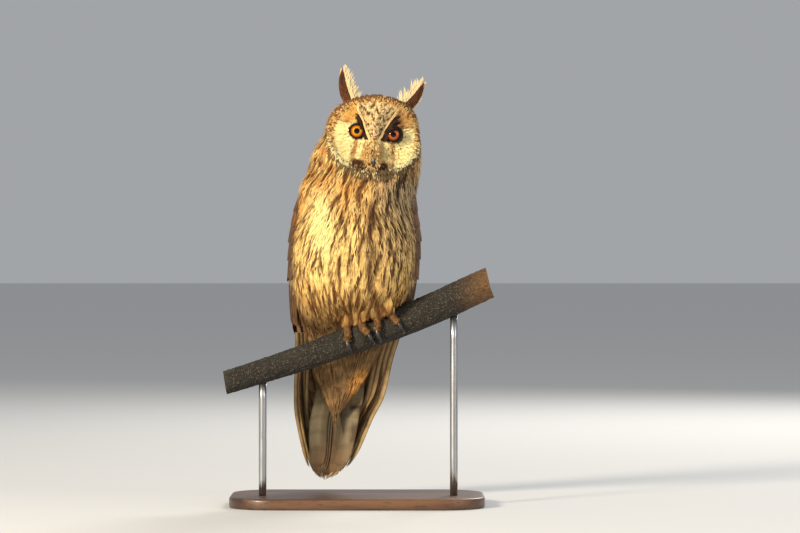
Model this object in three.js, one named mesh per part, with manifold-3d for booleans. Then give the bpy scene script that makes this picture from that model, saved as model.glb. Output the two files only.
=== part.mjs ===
// A long-eared owl at life size, perched upright on a short cut length of a sloping branch,
// which two rods hold over a flat base. Millimetres, +Z up. The owl faces -Y, so its left
// side is at +X, and the origin is in the middle of the underside of the base.

import * as THREE from "three";
import { mergeVertices } from "three/addons/utils/BufferGeometryUtils.js";
import Module from "manifold-3d";

const wasm = await Module();
wasm.setup();

const { degToRad, lerp, clamp, smoothstep } = THREE.MathUtils;
const Vec = THREE.Vector3;

// Driving dimensions
const GAP = 0.35; // clearance between pieces that touch
const BASE_THICKNESS = 10;
const TAIL_CLEARANCE = 14; // from the base up to the wing tips
const TIP_Z = BASE_THICKNESS + TAIL_CLEARANCE;
const CROWN_UP = 351; // the crown's height above the wing tips
const HEAD_CUT_UP = 275; // where the head meets the neck
const NECK_CUT_UP = 258; // where the neck meets the torso

// Levels of the body without its wings, each measured up from the wing tips:
// [up, middle x, half width, front y, back y, squareness of the section]
const BODY = [
  [56, -19, 2, 43, 46, 2], // end of the under-tail coverts
  [72, -16.5, 13, 36, 47, 2],
  [92, -13.5, 24, 29, 48, 2],
  [116, -9, 34, 21, 49, 2],
  [136, -7, 42, 8, 50, 2], // vent, behind the branch
  [148, -5.5, 46, -14, 51, 2],
  [164, -3.4, 51, -41, 51, 2.1], // lower belly
  [184, -2, 55, -54, 50, 2.15],
  [218, 0, 56, -60, 42, 2.15], // breast
  [246, 0.8, 52.5, -57, 35, 2.15], // shoulders
  [264, 3.2, 54, -54, 33, 2.2],
  [282, 8.6, 51.4, -51, 29, 2.35], // chin
  [300, 11.2, 49, -52, 26.5, 2.5],
  [314, 14.8, 43.5, -53, 24, 2.6], // eyes
  [328, 16, 40.5, -51, 19, 2.5],
  [337, 16.8, 36.4, -48, 13, 2.4], // brow
  [344, 17.8, 29, -43, 5, 2.2],
  [349, 18.2, 17, -35, -6, 2],
  [CROWN_UP, 18.2, 1, -22, -20, 2],
];

// The outside of a folded wing, as three points across each level, with x from the line of
// the back: [up, middle x, leading edge x and y, side x and y, trailing edge x and y]
const WING = [
  [0, -29, 3, 67, 2.4, 69, 1.2, 70.5],
  [9, -26.4, 15.5, 62, 10.5, 68, 1.4, 72],
  [27, -23, 25.5, 57, 19, 67.5, 1.6, 74],
  [55, -19.6, 35, 48, 28.5, 64, 1.8, 75],
  [73, -15.5, 40, 41, 35, 59.5, 2, 74.5],
  [109, -10.5, 43.5, 27, 42.5, 50, 2.5, 71.5],
  [127, -7.5, 46, 19, 46.5, 44, 3, 68.5],
  [146, -5.5, 49, 13, 51, 36, 5, 65],
  [164, -3.4, 51.5, 0, 55.5, 30, 8, 62],
  [182, -2, 53, -16, 58.5, 24, 13, 59],
  [218, 0, 52, -28, 60.5, 14, 28, 47],
  [246, 0.8, 51, -24, 57, 5, 40, 31],
  [264, 3, 52, -10, 54, 2, 49, 14],
];

// The face: its middle between the eyes, and the head's tilt towards the bird's left
const FACE_X = 18.7;
const FACE_Z = TIP_Z + 314;
const FACE_TILT = degToRad(5.5);
const DISC_HALF_WIDTH = 39.5;
const DISC_HALF_HEIGHT = 33;
const DISC_DROP = 2.5; // the disc's middle lies this far below the eyes
const RIM_HEIGHT = 3;
const RIM_WIDTH = 0.1; // as a share of the disc
const BOWL_RADIUS = 24;
const BOWL_DEPTH = 6.5;
const RIDGE_HEIGHT = 4; // the wedge between the eyes, from the crown down to the bill
const EYE_SPACING = 32.8;
const EYE_RADIUS = 9.3;
const EYE_Y = -41;
const EYE_OPENING = 6.7; // radius of the gap between the lids
const LID_THICKNESS = 1.4;
const EYE_OUTWARD = degToRad(9);

// Ear tufts: root and tip of the longest feather of each, and how far the others fan out
const TUFTS = {
  left: { root: new Vec(40, -23, 359), tip: new Vec(61.6, -16, 387), fan: degToRad(11) },
  right: { root: new Vec(-1.5, -23, 362), tip: new Vec(-9.5, -16, 399), fan: degToRad(9) },
};
const TUFT_FEATHERS = 7;

// Feathers: half the thickness of a vane at its shaft
const VANE = 0.5;
const LAYER = 1.3; // from one vane to the next that lies over it

// Wings
const WING_TOP_UP = 262;
const CORE_END_UP = 120; // the flight feathers go on alone below this height
const MIDLINE_GAP = 0.6; // between the two wings behind the tail

// Tail
const TAIL_ROOT_UP = 142;
const TAIL_CORE_UP = 118;
const RECTRICES = 6; // on each side

// Branch: it slopes up towards the bird's left and swells at a knot between the toes
const PERCH_PATH = [
  new Vec(-118, 0, 112.5),
  new Vec(-60, 0, 131),
  new Vec(0, 0, 152.5),
  new Vec(60, 0, 175.5),
  new Vec(122, 0, 203.5),
];
const PERCH_THIN = 10.6; // radius at the low end
const PERCH_THICK = 14.2; // radius from the owl's left side on
const KNOT_X = 5;

// Feet
const FOOT_X = { left: 30, right: 3 };
const TOE_RADIUS = 4.1;
const TOE_REST = 13.4; // from the branch's axis to the underside of a toe
const CLAW_RADIUS = 1.9;
const HEEL_RADIUS = 6.8;
const LEG_TOP_RADIUS = 10.2;
const FEET_ROOM = 23.6; // radius round the branch that the body leaves free for the feet

// Stand
const BASE = { left: 118, right: -114, front: -52, back: 84, corner: 40 };
const ROD_RADIUS = 3.5;
const ROD_X = [-84, 90];

// Colours of the sub-parts
const paint = (color, roughness, metalness = 0) =>
  new THREE.MeshStandardMaterial({ color, roughness, metalness });
const PLUMAGE = paint(0xc9a878, 0.9);
const FLIGHT = paint(0x8a6a48, 0.8);
const HORN = paint(0x1c1a1c, 0.35);
const IRIS = paint(0xe08a1e, 0.1);
const BARK = paint(0x6e5f48, 0.95);
const TOE_DOWN = paint(0xb98a55, 0.95);
const STAND_WOOD = paint(0x3a2a20, 0.5);
const STAND_STEEL = paint(0x8c8c8c, 0.35, 0.9);

// Smooth value of one column of a table of levels at a height
function valueAt(table, column, up) {
  const last = table.length - 1;
  let i = 0;
  while (i < last - 1 && up > table[i + 1][0]) i += 1;
  const slope = (k) => {
    const a = table[Math.max(k - 1, 0)];
    const b = table[Math.min(k + 1, last)];
    return (b[column] - a[column]) / (b[0] - a[0]);
  };
  const step = table[i + 1][0] - table[i][0];
  const t = clamp((up - table[i][0]) / step, 0, 1);
  const t2 = t * t;
  const t3 = t2 * t;
  return (
    (2 * t3 - 3 * t2 + 1) * table[i][column] +
    (t3 - 2 * t2 + t) * step * slope(i) +
    (3 * t2 - 2 * t3) * table[i + 1][column] +
    (t3 - t2) * step * slope(i + 1)
  );
}

// Point of the body: angle 0 is the bird's left and 90 degrees its back, grown outwards
function bodyPoint(angle, up, grow = 0) {
  const front = valueAt(BODY, 3, up);
  const back = valueAt(BODY, 4, up);
  const power = 2 / valueAt(BODY, 5, up);
  const c = Math.cos(angle);
  const s = Math.sin(angle);
  const reachX = Math.max(valueAt(BODY, 2, up), 0.5) + grow;
  const reachY = Math.max((back - front) / 2, 0.5) + grow;
  return new Vec(
    valueAt(BODY, 1, up) + reachX * Math.sign(c) * Math.abs(c) ** power,
    (front + back) / 2 + reachY * Math.sign(s) * Math.abs(s) ** power,
    TIP_Z + up,
  );
}

// Place on the face: u to the bird's left and w up, both tilted with the head
function facePoint(u, w, y) {
  const c = Math.cos(FACE_TILT);
  const s = Math.sin(FACE_TILT);
  return new Vec(FACE_X + u * c + w * s, y, FACE_Z - u * s + w * c);
}

function faceCoordinates(x, z) {
  const c = Math.cos(FACE_TILT);
  const s = Math.sin(FACE_TILT);
  return { u: (x - FACE_X) * c - (z - FACE_Z) * s, w: (x - FACE_X) * s + (z - FACE_Z) * c };
}

// How far the facial disc's rim, bowls and middle wedge stand out of the plain head
function faceRelief(u, w) {
  const discRadius = Math.hypot(u / DISC_HALF_WIDTH, (w + DISC_DROP) / DISC_HALF_HEIGHT);
  const rim = RIM_HEIGHT * Math.exp(-(((discRadius - 1) / RIM_WIDTH) ** 2));
  const eyeDistance = Math.hypot(Math.abs(u) - EYE_SPACING / 2 - 1, w + 1) / BOWL_RADIUS;
  const bowl = eyeDistance < 1 ? BOWL_DEPTH * (1 - eyeDistance ** 2) ** 1.5 : 0;
  const wedgeWidth = 4 + 0.32 * Math.max(w + 14, 0);
  const wedge = RIDGE_HEIGHT * Math.exp(-((u / wedgeWidth) ** 2)) * smoothstep(w, -30, -8);
  return rim - bowl + wedge * (1 - smoothstep(w, 16, 34));
}

// Closed geometry over a stack of rings of points, each end closed to one point. The first
// half of a ring and its second half are split alike, so thin pieces don't cross themselves.
function ringGeometry(rings, start, end) {
  const count = rings[0].length;
  const points = [start, ...rings.flat(), end];
  const at = (ring, i) => 1 + ring * count + (i % count);
  const index = [];
  for (let i = 0; i < count; i += 1) {
    index.push(0, at(0, i), at(0, i + 1));
    index.push(points.length - 1, at(rings.length - 1, i + 1), at(rings.length - 1, i));
    for (let ring = 0; ring < rings.length - 1; ring += 1) {
      const [a, b] = [at(ring, i), at(ring, i + 1)];
      const [c, d] = [at(ring + 1, i), at(ring + 1, i + 1)];
      if (i < count / 2) index.push(a, d, b, a, c, d);
      else index.push(a, c, b, b, c, d);
    }
  }
  const geometry = new THREE.BufferGeometry().setFromPoints(points);
  geometry.setIndex(index);
  return geometry;
}

// A three.js geometry as a solid, turned so that its faces point out
function solidFrom(source) {
  const bare = source.clone();
  bare.deleteAttribute("normal");
  bare.deleteAttribute("uv");
  const merged = mergeVertices(bare, 1e-4);
  const triVerts = new Uint32Array(merged.index.array);
  const vertProperties = new Float32Array(merged.attributes.position.array);
  const corner = (i) => new Vec().fromArray(vertProperties, 3 * triVerts[i]);
  let volume = 0;
  for (let i = 0; i < triVerts.length; i += 3) {
    volume += corner(i).dot(corner(i + 1).cross(corner(i + 2)));
  }
  if (volume < 0) {
    for (let i = 0; i < triVerts.length; i += 3) {
      [triVerts[i + 1], triVerts[i + 2]] = [triVerts[i + 2], triVerts[i + 1]];
    }
  }
  return new wasm.Manifold(new wasm.Mesh({ numProp: 3, vertProperties, triVerts }));
}

const ringSolid = (rings, start, end) => solidFrom(ringGeometry(rings, start, end));
const join = (solids) => solids.reduce((all, one) => all.add(one));
const rings = (count, make) => Array.from({ length: count }, (_, i) => make(i));

function middleOf(points) {
  return points.reduce((sum, p) => sum.add(p), new Vec()).multiplyScalar(1 / points.length);
}

// Box between two corners
function block(low, high) {
  const size = new Vec().subVectors(high, low);
  const box = new THREE.BoxGeometry(size.x, size.y, size.z);
  box.translate((low.x + high.x) / 2, (low.y + high.y) / 2, (low.z + high.z) / 2);
  return solidFrom(box);
}

const slab = (lowZ, highZ) => block(new Vec(-300, -300, lowZ), new Vec(300, 300, highZ));

// Round solid along a curve, with its own half width and half height at each place
function tube(curve, segments, sides, halfWidth, halfHeight, sideways, grow = 0) {
  const made = rings(segments + 1, (k) => {
    const t = k / segments;
    const ahead = curve.getTangent(t);
    const beyond = k === 0 ? -grow : k === segments ? grow : 0;
    const middle = curve.getPoint(t).addScaledVector(ahead, beyond);
    const up = new Vec().crossVectors(sideways, ahead).normalize();
    const across = new Vec().crossVectors(ahead, up);
    return rings(sides, (i) => {
      const angle = (2 * Math.PI * i) / sides;
      return middle
        .clone()
        .addScaledVector(across, (halfWidth(t) + grow) * Math.cos(angle))
        .addScaledVector(up, (halfHeight(t) + grow) * Math.sin(angle));
    });
  });
  const end = (t, beyond) => curve.getPoint(t).addScaledVector(curve.getTangent(t), beyond);
  return ringSolid(made, end(0, -grow), end(1, grow));
}

// Feather as a thin vane. place(t, x, h) gives its points: t runs from the root to the tip,
// x is across and h above the sheet. Each station is one edge, the raised shaft, the other
// edge and the underside.
const LONG = [[0, 0.5], [0.3, 0.9], [0.75, 1], [0.94, 0.6]];
const BROAD = [[0, 0.6], [0.4, 0.95], [0.75, 1], [0.93, 0.7]];
const SMALL = [[0, 0.6], [0.5, 1], [0.85, 0.75]];
const POINTED = [[0, 0.7], [0.35, 1], [0.7, 0.75], [0.9, 0.36]];

function vane(shape, half, place) {
  const made = shape.map(([t, wide]) => [
    place(t, -half * wide, 0),
    place(t, 0, VANE),
    place(t, half * wide, 0),
    place(t, 0, -0.8 * VANE),
  ]);
  return ringSolid(made, place(0, 0, 0), place(1, 0, 0));
}

// Torso, neck and head: one smooth body, parted by level cuts
const BODY_SIDES = 36;
const BODY_RINGS = 26;
const HEAD_SIDES = 52;
const HEAD_RINGS = 24;

// More corners go to the front of the head, where the face is
const headAngle = (i) => {
  const turn = (2 * Math.PI * i) / HEAD_SIDES;
  return turn + 0.42 * Math.cos(turn);
};

function bodyStack(low, high, count, sides, angleOf, relief) {
  const levels = rings(count, (k) => lerp(low, high, k / (count - 1)));
  const made = levels.map((up) =>
    rings(sides, (i) => {
      const angle = angleOf(i);
      const plain = bodyPoint(angle, up, 0);
      const out = new Vec(Math.cos(angle), Math.sin(angle), 0);
      return plain.addScaledVector(out, relief(plain, angle));
    }),
  );
  return ringSolid(made, middleOf(made[0]), middleOf(made[count - 1]));
}

function bodyShape(grow, ringCount = BODY_RINGS, sides = BODY_SIDES) {
  const evenAngle = (i) => (2 * Math.PI * i) / sides;
  return bodyStack(BODY[0][0], HEAD_CUT_UP + 4, ringCount, sides, evenAngle, () => grow);
}

function headRelief(point, angle) {
  const facing = clamp(-Math.sin(angle) * 2.2, 0, 1);
  const { u, w } = faceCoordinates(point.x, point.z);
  return facing * faceRelief(u, w);
}

function headShape(grow) {
  const relief = (point, angle) => headRelief(point, angle) + grow;
  return bodyStack(HEAD_CUT_UP - 6, CROWN_UP + grow, HEAD_RINGS, HEAD_SIDES, headAngle, relief);
}

function headPoint(angle, up) {
  const plain = bodyPoint(angle, up, 0);
  const out = new Vec(Math.cos(angle), Math.sin(angle), 0);
  return plain.addScaledVector(out, headRelief(plain, angle));
}

// Ruff: small stiff feathers that stand round the facial disc, open at the chin
const RUFF_FEATHERS = 19;
const RUFF_FROM = degToRad(-58);
const RUFF_TO = degToRad(238);
const RUFF_HALF = 7.6;
const RUFF_ROOT = 0.87; // share of the disc where they grow
const RUFF_SUNK = 3.4;
const RUFF_LENGTH = 9;
const RUFF_LIFT = 0.2; // how steeply the feathers rise from the head

function ruffFeather(turn) {
  const u = DISC_HALF_WIDTH * RUFF_ROOT * Math.cos(turn);
  const w = DISC_HALF_HEIGHT * RUFF_ROOT * Math.sin(turn) - DISC_DROP;
  const flat = facePoint(u, w, 0);
  const up = flat.z - TIP_Z;
  const power = valueAt(BODY, 5, up) / 2;
  const aside = clamp((flat.x - valueAt(BODY, 1, up)) / valueAt(BODY, 2, up), -0.98, 0.98);
  const angle = -Math.acos(Math.sign(aside) * Math.abs(aside) ** power);
  const root = headPoint(angle, up);
  const round = headPoint(angle + 0.03, up).sub(headPoint(angle - 0.03, up));
  const rise = headPoint(angle, up + 1).sub(headPoint(angle, up - 1));
  const out = new Vec().crossVectors(round, rise).normalize();
  const radial = facePoint(Math.cos(turn), Math.sin(turn), 0).sub(facePoint(0, 0, 0));
  const along = radial.addScaledVector(out, -radial.dot(out)).normalize();
  along.addScaledVector(out, RUFF_LIFT).normalize();
  const across = new Vec().crossVectors(along, out).normalize();
  const above = new Vec().crossVectors(across, along);
  const start = root.addScaledVector(along, -RUFF_SUNK).addScaledVector(out, -0.4);
  return vane(SMALL, RUFF_HALF, (t, x, h) =>
    start
      .clone()
      .addScaledVector(along, t * (RUFF_LENGTH + RUFF_SUNK))
      .addScaledVector(across, x)
      .addScaledVector(above, h + 0.14 * x),
  );
}

const ruff = () =>
  join(rings(RUFF_FEATHERS, (k) => ruffFeather(lerp(RUFF_FROM, RUFF_TO, k / (RUFF_FEATHERS - 1)))));

// Eyes: a ball in a socket, and lids as a shell round it that leaves a round gap
const BALL_SIDES = 12;
const BALL_RINGS = 7;

function eyeCentre(side) {
  return facePoint((side * EYE_SPACING) / 2, 0, EYE_Y);
}

function ball(centre, radius) {
  const sphere = new THREE.SphereGeometry(radius, BALL_SIDES, BALL_RINGS);
  sphere.rotateX(Math.PI / 2);
  sphere.translate(centre.x, centre.y, centre.z);
  return solidFrom(sphere);
}

function eyeGap(side) {
  const length = 30;
  const cone = new THREE.CylinderGeometry(EYE_OPENING - 1.2, EYE_OPENING + 2.2, length, 12);
  cone.translate(0, -length / 2, 0);
  cone.rotateZ(side * EYE_OUTWARD);
  const centre = eyeCentre(side);
  cone.translate(centre.x, centre.y, centre.z);
  return solidFrom(cone);
}

// Bill, with a nostril on each side of its base
const BILL_PATH = new THREE.CatmullRomCurve3([
  facePoint(0, -10, -44),
  facePoint(0.4, -14, -53),
  facePoint(0.9, -20, -58.5),
  facePoint(1.3, -26, -59.5),
  facePoint(1.6, -31.4, -57),
]);
const LOWER_BILL_PATH = new THREE.CatmullRomCurve3([
  facePoint(0.8, -21.5, -44),
  facePoint(1, -24.5, -51),
  facePoint(1.3, -27.6, -55.6),
]);
const SIDEWAYS = new Vec(Math.cos(FACE_TILT), 0, -Math.sin(FACE_TILT));
const NOSTRIL = { u: 4.1, w: -15.5, y: -54.5, radius: 1.5 };

function upperBill(grow) {
  const taper = (t) => Math.sqrt(1 - t ** 2.2);
  const width = (t) => 4.1 * taper(t) + 0.25;
  const height = (t) => 4.2 * taper(t) + 0.25;
  return tube(BILL_PATH, 8, 10, width, height, SIDEWAYS, grow);
}

function lowerBill(grow) {
  const width = (t) => lerp(3.4, 0.8, t ** 1.5);
  const height = (t) => lerp(2.4, 0.5, t);
  return tube(LOWER_BILL_PATH, 5, 8, width, height, SIDEWAYS, grow);
}

function nostril(side) {
  const { u, w, y, radius } = NOSTRIL;
  const pit = new THREE.SphereGeometry(radius, 5, 3);
  pit.scale(1, 1, 1.4);
  const centre = facePoint(side * u, w, y);
  pit.translate(centre.x, centre.y, centre.z);
  return solidFrom(pit);
}

// Ear tuft: long feathers that fan out from one root, each behind the one nearer the middle
function earTuft({ root, tip, fan }) {
  const along = new Vec().subVectors(tip, root);
  const length = along.length();
  along.normalize();
  const out = new Vec(0, -1, 0).addScaledVector(along, along.y).normalize();
  const across = new Vec().crossVectors(along, out);
  const middle = (TUFT_FEATHERS - 1) / 2;
  const feathers = rings(TUFT_FEATHERS, (k) => {
    const place = k - middle;
    const turn = (fan * place) / middle;
    const reach = length * (1 - 0.38 * Math.abs(place / middle) ** 1.5);
    const line = along.clone().applyAxisAngle(out, -turn);
    const side = new Vec().crossVectors(line, out);
    const start = root.clone().addScaledVector(across, 2.1 * place);
    return vane(POINTED, 4.4, (t, x, h) =>
      start
        .clone()
        .addScaledVector(line, t * reach)
        .addScaledVector(side, x)
        .addScaledVector(out, h - LAYER * Math.abs(place) - 2.4 * t * t),
    );
  });
  const seat = [-4, 15].map((h) =>
    root.clone().addScaledVector(along, h).addScaledVector(out, -2.2),
  );
  const width = (t) => 8.4 - 3.6 * t * t;
  const height = (t) => 3.6 - 0.6 * t;
  const core = tube(new THREE.LineCurve3(...seat), 2, 8, width, height, across);
  return join([core, ...feathers]);
}

// Wing surface: share runs across from the leading edge, 0, to the trailing edge, 1
function wingSurface(side, share, up) {
  const column = (k) => valueAt(WING, k, up);
  const blend = (first, middle, last) =>
    first * (1 - share) * (1 - 2 * share) +
    4 * middle * share * (1 - share) +
    last * share * (2 * share - 1);
  const x = blend(column(2), column(4), column(6));
  const y = blend(column(3), column(5), column(7));
  return new Vec(column(1) + side * x, y, TIP_Z + up);
}

function wingPoint(side, share, up, depth) {
  const across = wingSurface(side, share + 0.01, up).sub(wingSurface(side, share - 0.01, up));
  const along = wingSurface(side, share, up + 1).sub(wingSurface(side, share, up - 1));
  const out = new Vec().crossVectors(across, along).normalize();
  return wingSurface(side, share, up).addScaledVector(out, -side * depth);
}

function wingWidth(up) {
  const [edge, middle, back] = [0, 0.5, 1].map((share) => wingSurface(1, share, up));
  return edge.distanceTo(middle) + middle.distanceTo(back);
}

// Wing feather from a root to a tip, each given as [mm behind the leading edge, up, depth]
function wingFeather(side, shape, half, root, tip, tilt, depthAt = null) {
  const run = new THREE.Vector2(tip[0] - root[0], tip[1] - root[1]).normalize();
  return vane(shape, half, (t, x, h) => {
    const behind = lerp(root[0], tip[0], t) - x * run.y;
    const up = lerp(root[1], tip[1], t) + x * run.x;
    const share = clamp(behind / wingWidth(up), 0, 1);
    const depth = depthAt ? depthAt(up) : lerp(root[2], tip[2], t);
    return wingPoint(side, share, Math.max(up, 0), depth - tilt * x - h);
  });
}

// Primaries, the outermost first: [root behind the leading edge, tip behind it, tip up]
const PRIMARIES = [
  [9, 7, 34],
  [13, 6, 6],
  [18, 2.2, 0],
  [25, 12, 10],
  [32, 22.5, 24],
  [40, 33, 42],
  [48, 43, 62],
];

// How deep each primary lies: the inner ones that reach a level lie over the outer ones,
// and above their free ends the secondaries lie over them all
function primaryDepth(index, up) {
  const innermost = Math.min(2 + 4 * (Math.max(up, 0) / 62) ** 0.8, PRIMARIES.length - 1);
  return 0.7 + LAYER * Math.max(innermost - index, 0) + 3.6 * smoothstep(up, 92, 136);
}

// Rows of one kind of feather: [count, half width, first root, step to the next root,
// first tip, step to the next tip, tilt], with roots and tips as a wing feather takes them
const SECONDARIES = [5, 10.8, [22, 198, 5.4], [11, 0, 0], [22, 134, 2.4], [10.2, -5, 0], 0.14];
const WING_ROWS = [
  [5, 11.4, [13, 224, 3.6], [15, 0, 0], [16, 179, 1.1], [15, 2.4, 0], 0.11], // greater coverts
  [4, 11, [10, 246, 3], [14, 1, 0], [14, 210, 0.8], [17, 1.3, 0], 0.11], // median coverts
  [3, 10.5, [8, 261, 2.6], [10, 0, 0], [10, 236, 0.5], [17, 2, 0], 0.12], // lesser coverts
];
const SCAPULARS = { count: 3, half: 12, inset: 10, top: 210, step: -28, length: 48 };
const TERTIALS = [[17, 130], [9, 118]]; // [mm before the trailing edge, tip up]
const ALULA = [[6, 214, 168, 5.2], [13, 210, 174, 5]]; // [behind the edge, root, tip, half]

function featherRow(side, shape, [count, half, root, rootStep, tip, tipStep, tilt]) {
  const shifted = (from, step, k) => from.map((value, i) => value + step[i] * k);
  return rings(count, (k) => {
    const start = shifted(root, rootStep, k);
    const end = shifted(tip, tipStep, k);
    return wingFeather(side, shape, half, start, end, -tilt);
  });
}

function wingFeathers(side) {
  const feathers = PRIMARIES.map(([root, tip, tipUp], k) =>
    wingFeather(side, LONG, k ? 8.6 : 7, [root, 168], [tip, tipUp], 0, (up) => primaryDepth(k, up)),
  );
  feathers.push(...featherRow(side, BROAD, SECONDARIES));
  for (const row of WING_ROWS) feathers.push(...featherRow(side, SMALL, row));
  for (const [edge, root, tip, half] of ALULA) {
    feathers.push(wingFeather(side, SMALL, half, [edge, root, 3.4], [edge, tip, 0.7], -0.1));
  }
  for (const [inset, tip] of TERTIALS) {
    const root = [wingWidth(190) - inset, 190, 3.4];
    feathers.push(wingFeather(side, BROAD, 9, root, [wingWidth(tip) - inset, tip, -0.3], 0));
  }
  const { count, half, inset, top, step, length } = SCAPULARS;
  for (let k = 0; k < count; k += 1) {
    const tip = top + step * k;
    const root = [wingWidth(tip + length) - inset, tip + length, 2.8];
    feathers.push(wingFeather(side, SMALL, half, root, [wingWidth(tip) - inset, tip, -0.9], 0));
  }
  return feathers;
}

// The arm and hand under the feathers, from the shoulder down to where the flight
// feathers go on alone: as far down as CORE_END_UP
function wingCore(side) {
  const columns = 7;
  const levels = 9;
  const made = rings(levels, (k) => {
    const up = lerp(CORE_END_UP, WING_TOP_UP, k / (levels - 1));
    const skin = lerp(4.6, 1.6, smoothstep(up, 188, 248));
    const inner = lerp(13.5, 7, smoothstep(up, 190, 250));
    const row = (depth) =>
      rings(columns, (i) => wingPoint(side, lerp(0.03, 0.98, i / (columns - 1)), up, depth));
    return [...row(skin), ...row(inner).reverse()];
  });
  return ringSolid(made, middleOf(made[0]), middleOf(made[levels - 1]));
}

// One side of the slanting plane down the middle of the back
function behindMidline(side) {
  const lean = Math.atan2(23, 126);
  const box = new THREE.BoxGeometry(400, 600, 900);
  box.translate(side * (200 + MIDLINE_GAP / 2), 0, 0);
  box.rotateY(lean);
  box.translate(-6, 0, TIP_Z + 127);
  return solidFrom(box);
}

// Tail: rectrices in a stack, the middle pair on top at the back
const TAIL_HALF = 9.5;
const TAIL_Y = [
  // [up, y of the top feather]
  [6, 64.5],
  [27, 63.5],
  [55, 61.5],
  [100, 58.5],
  [TAIL_ROOT_UP, 55.5],
];
const TAIL_BEND = 70; // radius of the tail's curve across

function tailPoint(aside, up, depth) {
  const middle = valueAt(WING, 1, up);
  const y = valueAt(TAIL_Y, 1, up) - depth - aside ** 2 / (2 * TAIL_BEND);
  return new Vec(middle + aside, y, TIP_Z + up);
}

function rectrix(side, k) {
  const tipUp = 7 + 0.35 * k * k;
  const rank = side < 0 || k > 0 ? k + 1 : 0;
  return vane(BROAD, TAIL_HALF, (t, x, h) => {
    const up = lerp(TAIL_ROOT_UP, tipUp, t);
    const spread = 3 + 10.5 * smoothstep(t, 0, 0.5) - 3.5 * smoothstep(t, 0.7, 1);
    const aside = side * ((k / (RECTRICES - 1)) * spread + 2.5) + x;
    const own = k > 0 ? side * Math.max(side * aside, 0.4) : aside;
    return tailPoint(own, up, LAYER * rank - h);
  });
}

function tailCore(grow) {
  const made = rings(5, (k) => {
    const up = lerp(TAIL_CORE_UP - grow, TAIL_ROOT_UP + 4 + grow, k / 4);
    return rings(12, (i) => {
      const angle = (2 * Math.PI * i) / 12;
      const point = tailPoint((15 + grow) * Math.cos(angle), up, 4);
      return point.add(new Vec(0, (6 + grow) * Math.sin(angle), 0));
    });
  });
  return ringSolid(made, middleOf(made[0]), middleOf(made[4]));
}

function tail() {
  const feathers = [1, -1].flatMap((side) => rings(RECTRICES, (k) => rectrix(side, k)));
  return join([tailCore(0), ...feathers]);
}

// Branch with a knot, and cut ends
const PERCH_CURVE = new THREE.CatmullRomCurve3(PERCH_PATH);
const PERCH_SEGMENTS = 20;
const PERCH_SIDES = 12;

function perchRadius(t, angle) {
  const x = PERCH_CURVE.getPoint(t).x;
  const bark = 0.5 * Math.sin(5 * angle + 9 * t) + 0.35 * Math.sin(3 * angle - 22 * t);
  const plain = lerp(PERCH_THIN, PERCH_THICK, smoothstep(x, PERCH_PATH[0].x, 80));
  const facing = Math.max(0, Math.cos(angle + 0.5 * Math.PI - 0.4));
  const knot = 3.4 * facing * Math.exp(-(((x - KNOT_X) / 7.5) ** 2));
  return plain + bark + knot;
}

function perch(grow) {
  const made = rings(PERCH_SEGMENTS + 1, (k) => {
    const t = k / PERCH_SEGMENTS;
    const middle = PERCH_CURVE.getPoint(t);
    const ahead = PERCH_CURVE.getTangent(t);
    const across = new Vec(0, 1, 0);
    const up = new Vec().crossVectors(ahead, across).normalize();
    return rings(PERCH_SIDES, (i) => {
      const angle = (2 * Math.PI * i) / PERCH_SIDES;
      const radius = perchRadius(t, angle) + grow;
      return middle
        .clone()
        .addScaledVector(across, radius * Math.sin(angle))
        .addScaledVector(up, radius * Math.cos(angle));
    });
  });
  return ringSolid(made, PERCH_CURVE.getPoint(0), PERCH_CURVE.getPoint(1));
}

// Feet: two toes over the front of the branch and two behind, each with its claw
const TOES = [
  // [place, side of the foot, behind the branch, angle that the toe covers in degrees]
  ["front_outer", 1, false, 88],
  ["front_inner", -1, false, 88],
  ["back_outer", 1, true, 80],
  ["back_inner", -1, true, 80],
];

function perchFrame(x) {
  const t = (x - PERCH_PATH[0].x) / (PERCH_PATH[4].x - PERCH_PATH[0].x);
  const ahead = PERCH_CURVE.getTangent(t);
  const up = new Vec().crossVectors(ahead, new Vec(0, 1, 0)).normalize();
  const middle = PERCH_CURVE.getPoint(t).clone();
  middle.addScaledVector(ahead, (x - middle.x) / ahead.x);
  return { middle, ahead, up, front: new Vec(0, -1, 0) };
}

const ALONG_BRANCH = perchFrame(15).ahead;

// Point round the branch: degrees from its top, over the front, or the back with behind
function roundPerch(x, degrees, radius, behind) {
  const { middle, up, front } = perchFrame(x);
  const angle = degToRad(degrees) * (behind ? -1 : 1);
  return middle
    .clone()
    .addScaledVector(up, radius * Math.cos(angle))
    .addScaledVector(front, radius * Math.sin(angle));
}

function toeCurve(footX, side, behind, reach) {
  const turns = [6, 30, 55, 78, reach];
  return new THREE.CatmullRomCurve3(
    turns.map((degrees, k) => {
      const lift = TOE_REST + TOE_RADIUS - 0.3 * k;
      return roundPerch(footX + side * (3.2 + 1.6 * k), degrees, lift, behind);
    }),
  );
}

function clawCurve(footX, side, behind, reach) {
  const turns = [reach - 3, reach + 16, reach + 34, reach + 49];
  const lifts = [0, 1.6, 0.6, -2.2];
  return new THREE.CatmullRomCurve3(
    turns.map((degrees, k) => {
      const lift = TOE_REST + TOE_RADIUS - 1.2 + lifts[k];
      return roundPerch(footX + side * (9.6 + 0.5 * k), degrees, lift, behind);
    }),
  );
}

function claw(footX, [, side, behind, reach], grow) {
  const size = (t) => CLAW_RADIUS * Math.sqrt(1 - t ** 2) + 0.2;
  return tube(clawCurve(footX, side, behind, reach), 4, 5, size, size, ALONG_BRANCH, grow);
}

// The heel is a short post with a flat top, which the leg stands on
const HEEL_TOP = TOE_REST + 2 * TOE_RADIUS + 0.8;

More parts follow.
